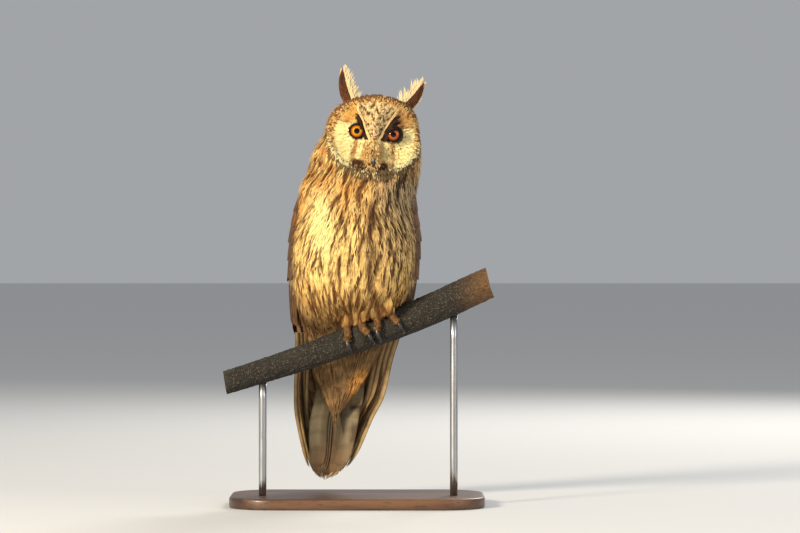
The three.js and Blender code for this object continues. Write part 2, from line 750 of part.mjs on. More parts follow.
function heel(footX) {
  const { middle, up } = perchFrame(footX);
  const [low, high] = [TOE_REST + 2, HEEL_TOP].map((h) => middle.clone().addScaledVector(up, h));
  const size = (t) => HEEL_RADIUS - 0.4 * t;
  return tube(new THREE.LineCurve3(low, high), 1, 8, size, size, new Vec(1, 0, 0));
}

function leg(footX, grow) {
  const { middle, up } = perchFrame(footX);
  const low = middle.clone().addScaledVector(up, HEEL_TOP + GAP);
  const bend = low.clone().addScaledVector(up, 9);
  const high = new Vec(lerp(footX, 0, 0.2), -4, low.z + 32);
  const size = (t) => lerp(HEEL_RADIUS - 0.4, LEG_TOP_RADIUS, t);
  const curve = new THREE.QuadraticBezierCurve3(low, bend, high);
  return tube(curve, 3, 10, size, size, new Vec(1, 0, 0), grow);
}

function foot(footX) {
  const pieces = TOES.map(([, side, behind, reach]) => {
    const size = (t) => TOE_RADIUS * (1 - 0.22 * t);
    return tube(toeCurve(footX, side, behind, reach), 4, 6, size, size, ALONG_BRANCH);
  });
  return join([heel(footX), ...pieces]);
}

// Room that the body leaves round the branch for both feet
function feetRoom() {
  const [from, to] = [FOOT_X.right - 16, FOOT_X.left + 16].map((x) => perchFrame(x).middle);
  const size = () => FEET_ROOM;
  return tube(new THREE.LineCurve3(from, to), 2, 16, size, size, new Vec(0, 1, 0));
}

// Stand: a plate with round corners and two rods up to the branch
function basePlate() {
  const { left, right, front, back, corner } = BASE;
  const bevel = 0.75;
  const outline = new THREE.Shape();
  outline.moveTo(right + corner, front);
  outline.lineTo(left - corner, front);
  outline.absarc(left - corner, front + corner, corner, -Math.PI / 2, 0);
  outline.lineTo(left, back - corner);
  outline.absarc(left - corner, back - corner, corner, 0, Math.PI / 2);
  outline.lineTo(right + corner, back);
  outline.absarc(right + corner, back - corner, corner, Math.PI / 2, Math.PI);
  outline.lineTo(right, front + corner);
  outline.absarc(right + corner, front + corner, corner, Math.PI, 1.5 * Math.PI);
  const plate = new THREE.ExtrudeGeometry(outline, {
    depth: BASE_THICKNESS - 2 * bevel,
    curveSegments: 4,
    bevelThickness: bevel,
    bevelSize: bevel,
    bevelOffset: -bevel,
    bevelSegments: 1,
  });
  return solidFrom(plate.translate(0, 0, bevel));
}

function rod(x) {
  const low = BASE_THICKNESS + GAP;
  const high = perchFrame(x).middle.z;
  const cylinder = new THREE.CylinderGeometry(ROD_RADIUS, ROD_RADIUS, high - low, 16);
  cylinder.rotateX(Math.PI / 2);
  cylinder.translate(x, 0, (low + high) / 2);
  return solidFrom(cylinder).subtract(perch(GAP));
}

// Assembly
const owl = new THREE.Group();
const SIDES = { left: 1, right: -1 };

// The largest closed surface of a solid, as a named mesh of the group
function add(name, solid, material) {
  const pieces = solid.decompose().sort((a, b) => b.volume() - a.volume());
  const { vertProperties, triVerts, numProp } = pieces[0].getMesh();
  const geometry = new THREE.BufferGeometry();
  const points = [];
  for (let i = 0; i < vertProperties.length; i += numProp) {
    points.push(vertProperties[i], vertProperties[i + 1], vertProperties[i + 2]);
  }
  geometry.setAttribute("position", new THREE.Float32BufferAttribute(points, 3));
  geometry.setIndex(Array.from(triVerts));
  geometry.computeVertexNormals();
  const mesh = new THREE.Mesh(geometry, material);
  mesh.name = name;
  owl.add(mesh);
}

const plainBody = bodyShape(0);
const bodyClearance = bodyShape(GAP);
const wingClearance = bodyShape(GAP + 0.8, 17, 20); // simpler, and clear of the body all round
const branchClearance = perch(GAP);
const feet = Object.values(FOOT_X);
const legsClearance = join(feet.map((x) => leg(x, GAP)));
const clawsClearance = join(feet.flatMap((x) => TOES.map((toe) => claw(x, toe, GAP))));

const neckZ = TIP_Z + NECK_CUT_UP;
const headZ = TIP_Z + HEAD_CUT_UP;
const torso = plainBody
  .subtract(slab(neckZ - GAP / 2, 600))
  .subtract(branchClearance)
  .subtract(feetRoom())
  .subtract(legsClearance);
add("torso", torso, PLUMAGE);
add("neck", plainBody.intersect(slab(neckZ + GAP / 2, headZ - GAP / 2)), PLUMAGE);

const bothEyes = (radius) => join([1, -1].map((side) => ball(eyeCentre(side), radius)));
const eyeGaps = join([1, -1].map(eyeGap));
const head = headShape(0)
  .add(ruff())
  .intersect(slab(headZ + GAP / 2, 600))
  .add(bothEyes(EYE_RADIUS + LID_THICKNESS).subtract(eyeGaps))
  .subtract(bothEyes(EYE_RADIUS + GAP))
  .subtract(upperBill(GAP))
  .subtract(lowerBill(GAP));
add("head", head, PLUMAGE);
add("bill_upper", upperBill(0).subtract(join([1, -1].map(nostril))), HORN);
add("bill_lower", lowerBill(0).subtract(upperBill(GAP)), HORN);

const headClearance = headShape(GAP);
const tailRoom = tailCore(GAP);
for (const [name, side] of Object.entries(SIDES)) {
  add(`eye_${name}`, ball(eyeCentre(side), EYE_RADIUS), IRIS);
  add(`ear_tuft_${name}`, earTuft(TUFTS[name]).subtract(headClearance), PLUMAGE);
  const wing = join([wingCore(side), ...wingFeathers(side)])
    .subtract(wingClearance)
    .subtract(branchClearance)
    .subtract(clawsClearance)
    .subtract(tailRoom)
    .intersect(behindMidline(side));
  add(`wing_${name}`, wing, FLIGHT);
}
add("tail", tail().subtract(bodyClearance), FLIGHT);

for (const [name, x] of Object.entries(FOOT_X)) {
  add(`leg_${name}`, leg(x, 0), TOE_DOWN);
  add(`foot_${name}`, foot(x).subtract(branchClearance).subtract(clawsClearance), TOE_DOWN);
  for (const toe of TOES) {
    add(`claw_${name}_${toe[0]}`, claw(x, toe, 0).subtract(branchClearance), HORN);
  }
}

add("perch_branch", perch(0), BARK);
add("stand_base", basePlate(), STAND_WOOD);
ROD_X.forEach((x, k) => add(`stand_rod_${k + 1}`, rod(x), STAND_STEEL));

export default owl;
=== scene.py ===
# %% [markdown]
# # A long-eared owl on a cut branch
# The owl is a still, life-size model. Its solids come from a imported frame, which this
# script loads first. Every piece below is made in the same place as the solid it dresses,
# so nothing is fitted by hand. One skin carries the body, and thousands of small vanes
# lie over it as the coat.

import math
import bpy
import numpy as np
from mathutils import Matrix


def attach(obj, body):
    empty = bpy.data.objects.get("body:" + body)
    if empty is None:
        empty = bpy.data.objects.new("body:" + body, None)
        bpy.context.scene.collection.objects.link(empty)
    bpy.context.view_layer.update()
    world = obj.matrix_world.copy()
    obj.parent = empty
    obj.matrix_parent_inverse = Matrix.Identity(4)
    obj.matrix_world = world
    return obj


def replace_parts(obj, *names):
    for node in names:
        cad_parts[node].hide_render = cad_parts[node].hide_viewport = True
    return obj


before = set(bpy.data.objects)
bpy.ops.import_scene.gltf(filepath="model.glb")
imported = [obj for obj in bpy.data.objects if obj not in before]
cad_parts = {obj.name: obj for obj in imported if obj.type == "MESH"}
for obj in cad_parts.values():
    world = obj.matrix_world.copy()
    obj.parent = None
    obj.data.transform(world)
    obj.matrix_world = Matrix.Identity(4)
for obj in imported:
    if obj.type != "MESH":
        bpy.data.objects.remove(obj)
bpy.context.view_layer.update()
RNG = np.random.default_rng(12)
MM = 0.001

# %% [markdown]
# The camera stands level with the middle of the owl, three metres off, with a long lens.
# It comes first, because every later choice is judged through it. The photograph is 800
# by 533 pixels, and one pixel is 0.91 mm at the owl, so the frame is 728 mm wide there.

# %% Camera
FRAME_WIDTH = 800 * 0.91 * MM
DISTANCE = 3.0
camera_data = bpy.data.cameras.new("camera")
camera_data.sensor_width = 36
camera_data.lens = 36 * DISTANCE / FRAME_WIDTH
camera = bpy.data.objects.new("camera", camera_data)
camera.location = (0.041, -DISTANCE, 0.2183)
camera.rotation_euler = (math.radians(90), 0, 0)
bpy.context.scene.collection.objects.link(camera)
bpy.context.scene.camera = camera
print("lens", round(camera_data.lens, 1))

# %% [markdown]
# The body is a stack of level sections, narrow at the vent, wide at the breast and at the
# chin, and round over the crown. The tables give each section in millimetres, measured up
# from the wing tips. A smooth curve runs through each column, so any height can be asked
# for. The same tables shape the solids, and this keeps coat and solid together.

# %% Tables of the body and the wings
TIP = 24.0  # height of the wing tips
BODY = [  # up, middle x, half width, front y, back y, squareness
    [56, -19, 2, 43, 46, 2], [72, -16.5, 13, 36, 47, 2], [92, -13.5, 24, 29, 48, 2],
    [116, -9, 34, 21, 49, 2], [136, -7, 42, 8, 50, 2], [148, -5.5, 46, -14, 51, 2],
    [164, -3.4, 51, -41, 51, 2.1], [184, -2, 55, -54, 50, 2.15], [218, 0, 56, -60, 42, 2.15],
    [246, 0.8, 52.5, -57, 35, 2.15], [264, 3.2, 54, -54, 33, 2.2], [282, 8.6, 51.4, -51, 29, 2.35],
    [300, 11.2, 49, -52, 26.5, 2.5], [314, 14.8, 43.5, -53, 24, 2.6], [328, 16, 40.5, -51, 19, 2.5],
    [337, 16.8, 36.4, -48, 13, 2.4], [344, 17.8, 29, -43, 5, 2.2], [349, 18.2, 17, -35, -6, 2],
    [351, 18.2, 1, -22, -20, 2],
]
WING = [  # up, middle x, leading edge x and y, side x and y, trailing edge x and y
    [0, -29, 3, 67, 2.4, 69, 1.2, 70.5], [9, -26.4, 15.5, 62, 10.5, 68, 1.4, 72],
    [27, -23, 25.5, 57, 19, 67.5, 1.6, 74], [55, -19.6, 35, 48, 28.5, 64, 1.8, 75],
    [73, -15.5, 40, 41, 35, 59.5, 2, 74.5], [109, -10.5, 43.5, 27, 42.5, 50, 2.5, 71.5],
    [127, -7.5, 46, 19, 46.5, 44, 3, 68.5], [146, -5.5, 49, 13, 51, 36, 5, 65],
    [164, -3.4, 51.5, 0, 55.5, 30, 8, 62], [182, -2, 53, -16, 58.5, 24, 13, 59],
    [218, 0, 52, -28, 60.5, 14, 28, 47], [246, 0.8, 51, -24, 57, 5, 40, 31],
    [264, 3, 52, -10, 54, 2, 49, 14],
]


def smooth(low, high, value):
    """0 at low and 1 at high, with a soft start and end."""
    t = np.clip((np.asarray(value, float) - low) / (high - low), 0, 1)
    return t * t * (3 - 2 * t)


def level(table, column, up):
    """Smooth value of one column of a table at a height."""
    rows = np.asarray(table, float)
    up = np.asarray(up, float)
    last = len(rows) - 1
    i = np.clip(np.searchsorted(rows[:, 0], up) - 1, 0, last - 1)

    def slope(k):
        a, b = np.clip(k - 1, 0, last), np.clip(k + 1, 0, last)
        return (rows[b, column] - rows[a, column]) / (rows[b, 0] - rows[a, 0])

    step = rows[i + 1, 0] - rows[i, 0]
    t = np.clip((up - rows[i, 0]) / step, 0, 1)
    return (
        (2 * t**3 - 3 * t**2 + 1) * rows[i, column]
        + (t**3 - 2 * t**2 + t) * step * slope(i)
        + (3 * t**2 - 2 * t**3) * rows[i + 1, column]
        + (t**3 - t**2) * step * slope(i + 1)
    )


def xyz(points):
    return points[..., 0], points[..., 1], points[..., 2]


print("half width of the breast", float(level(BODY, 2, 218)))

# %% [markdown]
# A surface here is a rule that turns two numbers into a point. The body takes an angle and
# a height. The face takes distances across and up from the middle between the eyes. The
# wing takes a distance behind its leading edge and a height. Vanes are then laid in these
# two numbers and follow every curve, which is simpler than bending them afterwards.

# %% Surfaces
FACE_X, FACE_Z, FACE_TILT = 18.7, TIP + 314, math.radians(5.5)
DISC_WIDE, DISC_HIGH, DISC_DROP = 39.5, 33.0, 2.5
EYE_APART, EYE_Y, EYE_RADIUS = 32.8, -41.0, 9.3


def face_uw(x, z):
    c, s = math.cos(FACE_TILT), math.sin(FACE_TILT)
    return (x - FACE_X) * c - (z - FACE_Z) * s, (x - FACE_X) * s + (z - FACE_Z) * c


def face_xz(u, w):
    c, s = math.cos(FACE_TILT), math.sin(FACE_TILT)
    return FACE_X + u * c + w * s, FACE_Z - u * s + w * c


def disc_radius(u, w):
    """0 in the middle of the facial disc and 1 on its rim."""
    return np.hypot(u / DISC_WIDE, (w + DISC_DROP) / DISC_HIGH)


def eye_distance(u, w):
    return np.hypot(np.abs(u) - EYE_APART / 2, w)


def wedge_edge(w):
    """Half width of the wedge of feathers between the eyes."""
    return 2.6 + 0.5 * np.maximum(w + 9, 0)


def face_relief(u, w):
    """How far the disc's rim, its bowls and the wedge stand out of the plain head."""
    rim = 3 * np.exp(-(((disc_radius(u, w) - 1) / 0.1) ** 2))
    away = np.minimum(np.hypot(np.abs(u) - EYE_APART / 2 - 1, w + 1) / 24, 1)
    bowl = 6.5 * (1 - away**2) ** 1.5
    wedge_wide = 4 + 0.32 * np.maximum(w + 14, 0)
    wedge = 4 * np.exp(-((u / wedge_wide) ** 2)) * smooth(-30, -8, w)
    return rim - bowl + wedge * (1 - smooth(16, 34, w))


def body_place(angle, up):
    front, back = level(BODY, 3, up), level(BODY, 4, up)
    power = 2 / level(BODY, 5, up)
    c, s = np.cos(angle), np.sin(angle)
    wide = np.maximum(level(BODY, 2, up), 0.5)
    deep = np.maximum((back - front) / 2, 0.5)
    x = level(BODY, 1, up) + wide * np.sign(c) * np.abs(c) ** power
    y = (front + back) / 2 + deep * np.sign(s) * np.abs(s) ** power
    z = TIP + up + 0 * x
    u, w = face_uw(x, z)
    facing = np.clip(-s * 2.2, 0, 1) * smooth(268, 276, up)
    relief = facing * face_relief(u, w)
    return np.stack([x + c * relief, y + s * relief, z], -1)


def face_place(u, w):
    x, z = face_xz(u, w)
    up = z - TIP
    front, back, square = level(BODY, 3, up), level(BODY, 4, up), level(BODY, 5, up)
    aside = np.clip((x - level(BODY, 1, up)) / np.maximum(level(BODY, 2, up), 0.5), -0.985, 0.985)
    s = -((1 - np.abs(aside) ** square) ** 0.5)
    c = np.sign(aside) * np.abs(aside) ** (square / 2)
    y = (front + back) / 2 - np.maximum((back - front) / 2, 0.5) * np.abs(s) ** (2 / square)
    relief = np.clip(-s * 2.2, 0, 1) * face_relief(u, w)
    y = y + s * relief
    y = y - np.maximum(y + 48.6, 0) * smooth(14, 6, eye_distance(u, w))
    return np.stack([x + c * relief, y, z], -1)


def wing_share(share, up):
    def blend(first, middle, final):
        return (
            first * (1 - share) * (1 - 2 * share)
            + 4 * middle * share * (1 - share)
            + final * share * (2 * share - 1)
        )

    x = blend(level(WING, 2, up), level(WING, 4, up), level(WING, 6, up))
    y = blend(level(WING, 3, up), level(WING, 5, up), level(WING, 7, up))
    return np.stack([x, y, TIP + up + 0 * x], -1)


def wing_width(up):
    a, b, c = (wing_share(s + 0 * np.asarray(up, float), up) for s in (0, 0.5, 1))
    return np.linalg.norm(b - a, axis=-1) + np.linalg.norm(c - b, axis=-1)


def wing_place(side):
    def place(behind, up):
        up = np.maximum(up, 0)
        point = wing_share(behind / wing_width(up), up)
        point[..., 0] = level(WING, 1, up) + side * point[..., 0]
        return point

    return place


def tail_depth(up):
    return np.interp(up, [6, 27, 55, 100, 142], [64.5, 63.5, 61.5, 58.5, 55.5])


def tail_place(aside, up):
    x = level(WING, 1, np.maximum(up, 0)) + aside
    return np.stack([x, tail_depth(up) - aside**2 / 140, TIP + up + 0 * x], -1)


class Surface:
    """A place rule, the steps used to feel its slope, its outer side and its unwrap."""

    def __init__(self, place, step, outward, low, high):
        self.place, self.step, self.outward = place, step, outward
        self.low, self.high = np.array(low, float), np.array(high, float)

    def slopes(self, a, b):
        da, db = self.step
        pa = (self.place(a + da, b) - self.place(a - da, b)) / (2 * da)
        pb = (self.place(a, b + db) - self.place(a, b - db)) / (2 * db)
        n = np.cross(pa, pb)
        n = n / np.maximum(np.linalg.norm(n, axis=-1, keepdims=True), 1e-9)
        return pa, pb, self.outward * n

    def unwrap(self, a, b):
        spot = (np.stack([a, b], -1) - self.low) / (self.high - self.low)
        return np.clip(spot, 0.002, 0.998)


BODY_SURFACE = Surface(body_place, (0.03, 1.0), 1, [-math.pi, 50], [math.pi, 352])
FACE_SURFACE = Surface(face_place, (1.0, 1.0), 1, [-46, -46], [46, 46])
WING_SURFACE = {s: Surface(wing_place(s), (1.0, 1.0), s, [-5, -5], [110, 270]) for s in (1, -1)}
TAIL_SURFACE = Surface(tail_place, (0.8, 0.8), -1, [-32, 0], [32, 150])
print("tip of the face", np.round(face_place(np.array(0.0), np.array(0.0)), 1))

# %% [markdown]
# The branch slopes up to the owl's left. Its axis is a curve through five points, and the
# bark stands about a millimetre off the plain round, a knot near the toes a little more. The
# coat must not sink into it, so a helper pushes any point that falls inside back out.

# %% The branch's axis, and room round it
PERCH = [[-118, 112.5], [-60, 131], [0, 152.5], [60, 175.5], [122, 203.5]]  # x, z


def perch_axis(x):
    """Points of the axis above x, and its direction there."""
    z = level(PERCH, 1, x)
    rise = (level(PERCH, 1, x + 1) - level(PERCH, 1, x - 1)) / 2
    size = np.sqrt(1 + rise**2)
    return np.stack([x, 0 * x, z], -1), np.stack([1 / size, 0 * x, rise / size], -1)


def perch_radius(x):
    return 10.6 + 3.6 * smooth(-118, 80, x)


def clear_of_branch(points, margin):
    """Points that fall inside the branch are moved out, straight from its axis."""
    points = points.copy()
    x = np.clip(points[..., 0], -118, 122)
    for _ in range(2):
        middle, ahead = perch_axis(x)
        x = np.clip(x + ((points - middle) * ahead).sum(-1) * ahead[..., 0], -118, 122)
    middle, ahead = perch_axis(x)
    away = points - middle
    away = away - (away * ahead).sum(-1, keepdims=True) * ahead
    far = np.linalg.norm(away, axis=-1, keepdims=True)
    need = (perch_radius(x) + margin)[..., None]
    inside = (far < need) & (np.abs(points[..., :1]) < 130)
    push = away / np.maximum(far, 0.5) * (need - far)
    return points + np.where(inside, push, 0)


# %% [markdown]
# Each vane is a small sheet with a raised shaft and a torn tip. Rows of corners run along
# it, and the last row ends in points of uneven length, as loose barbs do. Hundreds of them
# are worked out at once as arrays, which is far quicker than a loop over objects.

# %% Vanes laid on a surface
CONTOUR = ([0, 0.25, 0.5, 0.75, 1], [0.35, 0.8, 1, 0.98, 0.72])
NARROW = ([0, 0.3, 0.7, 1], [0.5, 1, 0.9, 0.4])
PATCH = 0.0015  # half width of one vane's patch on the map of the whole coat


def vane_grid(columns, rows, part=0.86):
    """Corners (x across, t along) of one vane and its triangles. Past part the barbs are loose."""
    t = np.repeat(np.linspace(0, part, rows), columns + 1)
    x = np.tile(np.linspace(-1, 1, columns + 1), rows)
    faces = []
    for r in range(rows - 1):
        for c in range(columns):
            i = r * (columns + 1) + c
            j = i + columns + 1
            faces += [(i, j + 1, i + 1), (i, j, j + 1)]
    last = (rows - 1) * (columns + 1)
    first_tip = rows * (columns + 1)
    faces += [(last + c, first_tip + c, last + c + 1) for c in range(columns)]
    tip_x = (np.arange(columns) + 0.5) / columns * 2 - 1
    x, t = np.concatenate([x, tip_x]), np.concatenate([t, np.ones(columns)])
    return x, t * (1 - 0.16 * t * x**2), np.array(faces)


def vane_batch(surface, a, b, points, x, t, faces, middle, long=1.0, **more):
    """Vanes as arrays, with their own map and a small patch each on the map of the coat."""
    bake = surface.unwrap(a, b)[:, None, :] + PATCH * np.stack([x, 2 * t - 1], -1)
    uv = np.stack([(x + 1) / 2, t * long], -1)
    return {"points": points, "uv": uv, "bake": bake, "faces": faces, "middle": points[:, middle], **more}


def lay_vanes(surface, a, b, flow, length, half, height, columns=5, rows=5, outline=CONTOUR,
              fray=0.1, camber=0.1, push=None, part=0.86):
    """Vanes rooted at (a, b) that lie along flow. Height is the offset from the surface."""
    a, b = np.asarray(a, float), np.asarray(b, float)
    n = len(a)
    length, half = (np.broadcast_to(np.asarray(v, float), (n,)) for v in (length, half))
    pa, pb, out = surface.slopes(a, b)
    flow_a, flow_b = (np.asarray(v, float).reshape(-1, 1) for v in flow)
    along = pa * flow_a + pb * flow_b
    along /= np.linalg.norm(along, axis=-1, keepdims=True)
    across = np.cross(out, along)
    aa, ab, bb = (pa * pa).sum(-1), (pa * pb).sum(-1), (pb * pb).sum(-1)
    det = np.maximum(aa * bb - ab * ab, 1e-6)

    def steps(vector):
        va, vb = (pa * vector).sum(-1), (pb * vector).sum(-1)
        return (bb * va - ab * vb) / det, (aa * vb - ab * va) / det

    x0, t0, faces = vane_grid(columns, rows, part)
    count = len(x0)
    x = np.tile(x0, (n, 1)) + RNG.uniform(-0.5, 0.5, (n, count)) * fray / columns
    t = np.tile(t0, (n, 1))
    t[:, -columns:] += RNG.uniform(-1, 0.6, (n, columns)) * fray
    t[:, :-columns] += RNG.uniform(-0.3, 0.3, (n, count - columns)) * fray / rows
    run, side = steps(along * length[:, None]), steps(across * half[:, None])
    xa = x * np.interp(t, *outline)
    place_a = a[:, None] + run[0][:, None] * t + side[0][:, None] * xa
    place_b = b[:, None] + run[1][:, None] * t + side[1][:, None] * xa
    lift = height(t, xa) if callable(height) else np.asarray(height, float).reshape(-1, 1)
    lift = lift - camber * half[:, None] * xa**2
    _, _, normal = surface.slopes(place_a, place_b)
    points = surface.place(place_a, place_b) + normal * lift[..., None]
    if push is not None:
        points = push(points)
    return vane_batch(surface, a, b, points, x, t, faces, rows // 2 * (columns + 1) + columns // 2)


def rising(low, high, bend=0.6):
    """A vane that starts low and comes up to its own height at the tip."""
    low, high = np.asarray(low, float).reshape(-1, 1), np.asarray(high, float).reshape(-1, 1)
    return lambda t, x: low + (high - low) * np.clip(t, 0, 1) ** bend


print("corners of one vane", len(vane_grid(5, 5)[0]))

# %% [markdown]
# The plumage is painted by rule. For any point of the owl, one function gives the ground
# colour, the colour of the dark marks, and how strong shaft streaks and cross bars are.
# Skin and coat both ask it, so they carry the same markings, and neither needs a picture.

# %% Colours of the plumage


def tone(red, green, blue):
    """A colour as a screen shows it, turned into the values that light works with."""
    v = np.array([red, green, blue]) / 255
    return np.where(v <= 0.04045, v / 12.92, ((v + 0.055) / 1.055) ** 2.4)


WHITE, CREAM, BUFF = tone(255, 244, 180), tone(250, 216, 138), tone(226, 164, 82)
RUFOUS, RUST, UMBER = tone(198, 132, 66), tone(134, 76, 32), tone(74, 44, 24)
# SHADE_ASH is the grey of the painted shade on the owl's left side.
SOOT, SHADE_ASH = tone(34, 20, 12), tone(186, 164, 130)


def blend(first, second, share):
    share = np.asarray(share, float)[..., None]
    return first * (1 - share) + second * share


def ripple(points, scale, seed=0.0):
    """Cheap smooth noise between -1 and 1."""
    x, y, z = xyz(points / scale)
    return (
        np.sin(1.7 * x + 2.3 * np.sin(1.3 * z + seed) + seed)
        + np.sin(2.1 * z - 1.9 * np.sin(1.1 * y + 2 * seed))
        + np.sin(1.9 * y + 2.2 * np.sin(1.6 * x - seed))
    ) / 3


def lattice_noise(points, seed=0):
    """Smooth random values on a lattice of ones."""
    cell = np.floor(points).astype(int)
    f = points - cell
    f = f * f * (3 - 2 * f)
    total = 0
    for dx in (0, 1):
        for dy in (0, 1):
            for dz in (0, 1):
                c = cell + (dx, dy, dz)
                mixed = c[..., 0] * 127.1 + c[..., 1] * 311.7 + c[..., 2] * 74.7 + seed * 17.3
                h = np.sin(mixed) * 43758.5453
                h = h - np.floor(h)
                wx = f[..., 0] if dx else 1 - f[..., 0]
                wy = f[..., 1] if dy else 1 - f[..., 1]
                wz = f[..., 2] if dz else 1 - f[..., 2]
                total = total + h * wx * wy * wz
    return total


def mottle(points, size, seed, low=0.5, high=0.62):
    """Irregular spots of about one size, 1 inside a spot."""
    fine = lattice_noise(points / size * 2.1, seed + 5)
    return smooth(low, high, 0.65 * lattice_noise(points / size, seed) + 0.35 * fine)


def fanning(up):
    """How much the feathers of the front spread outwards at a height; below 0 they close in."""
    return np.interp(up, [120, 150, 190, 225, 262, 300], [-0.1, -0.45, -0.1, 0.42, 0.5, 0.25])


LANE_UP = np.arange(50, 353, 3.0)
LANE_SPREAD = np.exp(np.cumsum((fanning(LANE_UP) / 50 * 3)[::-1])[::-1])


def chance(first, second=0.0):
    """A fixed random number from 0 to 1 for each whole number."""
    v = np.sin(first * 12.9898 + second * 78.233 + 1.7) * 43758.5453
    return v - np.floor(v)


def round_body(points):
    """Millimetres round the body from the middle of the front."""
    up = points[..., 2] - TIP
    front, back = level(BODY, 3, up), level(BODY, 4, up)
    c = (points[..., 0] - level(BODY, 1, up)) / np.maximum(level(BODY, 2, up), 1)
    s = (points[..., 1] - (front + back) / 2) / np.maximum((back - front) / 2, 1)
    return np.arctan2(c, -s) * 52


def streak_lines(points, apart, seed, wide, duty):
    """Dark broken lines that run with the feathers: 1 on a line, 0 between lines."""
    up = points[..., 2] - TIP
    spread = np.interp(up, LANE_UP, LANE_SPREAD)
    lane = (round_body(points) - 10) / spread / apart
    number = np.floor(lane)
    own = chance(number, seed)
    centre = 0.5 + 0.2 * np.sin(up / 12 + 6.28 * own) + 0.1 * np.sin(up / 4.6 + 17 * own)
    off = np.abs(lane - number - centre) * apart * spread
    share = up / (26 + 22 * chance(number, seed + 1)) + 9 * own
    part = (share - np.floor(share)) / duty
    own_width = 0.55 + 0.8 * chance(number * 3 + np.floor(share), seed + 2)
    width = wide * own_width * np.sqrt(np.clip(4 * part * (1 - part), 0, 1))
    return smooth(width + 0.55, width - 0.55, off) * smooth(0.02, 0.2, width)


def plumage(points):
    """Ground, ink, shaft streak and bar strength at points of the body."""
    x, y, z = xyz(points)
    up = z - TIP
    loose = ripple(points, 9)
    front = smooth(14, -18, y + 6 * loose)
    upper = smooth(224, 250, up + 7 * loose)
    # Painted shade: on the owl's left, away from the key lamp, the breast and belly turn greyer and darker,
    # and the ink darker.
    shaded_side = smooth(2, 40, x) * smooth(170, 225, up)
    breast = blend(blend(BUFF, CREAM, 0.45 + 0.45 * loose), SHADE_ASH, 0.8 * shaded_side)
    low = smooth(190, 150, up)
    belly = blend(CREAM, blend(CREAM, BUFF, 0.6 + 0.3 * loose), 0.35 + 0.65 * low)
    belly = blend(belly, tone(214, 176, 124), 0.6 * shaded_side)
    ground = blend(belly, breast, upper)
    # Painted highlight: a bright cream patch on the owl's right upper breast, on the key lamp's side, with
    # thinner streaks under it.
    patch = np.exp(-(((x + 30) / 10) ** 2) - (((up - 232) / 27) ** 2)) * front
    ground = blend(ground, tone(255, 234, 160), np.clip(1.5 * patch, 0, 1))
    # Painted shade: a grey-brown band down the groove where the breast feathers part.
    parting_shade = np.exp(-(((x - 15 + 3 * loose) / 4.5) ** 2)) * smooth(262, 240, up) * smooth(150, 175, up)
    ground = blend(ground, tone(120, 90, 60), 0.85 * parting_shade * front)
    ink = blend(blend(tone(80, 42, 18), tone(100, 56, 24), low), tone(96, 52, 24), upper)
    ink = blend(ink, tone(44, 30, 20), shaded_side)
    clear = 1 - 0.8 * np.clip(1.4 * patch, 0, 1)
    streak, bars = (0.65 - 0.1 * upper) * clear, 0.35 * (1 - upper) * (1 - 0.6 * low)
    back = blend(tone(172, 132, 84), tone(112, 82, 54), 0.5 + 0.5 * ripple(points, 7, 2.0))
    nape = smooth(250, 282, up)
    back = blend(back, blend(RUFOUS, BUFF, 0.5 + 0.5 * loose), 0.8 * nape)
    ground, ink = blend(back, ground, front), blend(UMBER, ink, front)
    streak, bars = streak * front + 0.95 * (1 - front), bars * front + 0.7 * (1 - front)
    under = smooth(140, 122, up) * smooth(60, 44, y)
    warm = smooth(16, 8, np.hypot(x - 5, (z - 106) * 0.8)) * (y < 56)
    ground = blend(ground, blend(tone(150, 118, 78), tone(246, 176, 92), warm), 0.9 * under)
    dark = smooth(1.15, 0.85, np.hypot((x - 16) / 4.5, (z - 117) / 9))
    dark = dark + smooth(1.15, 0.85, np.hypot((x - 4) / 9, (z - 88) / 5))
    ground = blend(ground, tone(74, 44, 24), np.clip(dark, 0, 0.9) * under)
    neck = smooth(262, 285, up) * front
    ground = blend(ground, blend(RUFOUS, CREAM, 0.5 + 0.9 * ripple(points, 5, 1.0)), 0.7 * neck)
    # Painted shade: the lower belly is made darker downwards, as the part turned away from the light. The
    # under-tail is left out.
    ground = ground * (1 - 0.35 * smooth(176, 150, up) * (1 - under))[..., None]
    crown = smooth(336, 344, up)
    ground = blend(ground, tone(214, 180, 126), 0.8 * crown)
    ink = blend(ink, tone(64, 36, 20), np.maximum(crown, 0.7 * neck))
    wide = (2.7 - 0.1 * upper + 0.2 * shaded_side - 0.3 * (1 - front)) * clear
    wide = wide * (1 - 0.7 * crown) * (1 - 0.6 * under) * (1 - 0.35 * smooth(285, 320, up))
    duty = 0.82 + 0.06 * upper
    lines = streak_lines(points, 6.2, 1.0, wide * (0.4 + 0.5 * upper), duty)
    lines = np.maximum(lines, streak_lines(points, 3.0, 5.0, wide * (0.12 + 0.5 * (1 - upper)), duty))
    specks = mottle(points, 2.6, 4) * crown
    ground = blend(ground, ink, np.clip(0.92 * lines + 0.8 * specks, 0, 0.95))
    return ground, ink, np.clip(streak * (1 - 0.5 * under), 0, 1), np.clip(bars + 0.4 * crown, 0, 1)


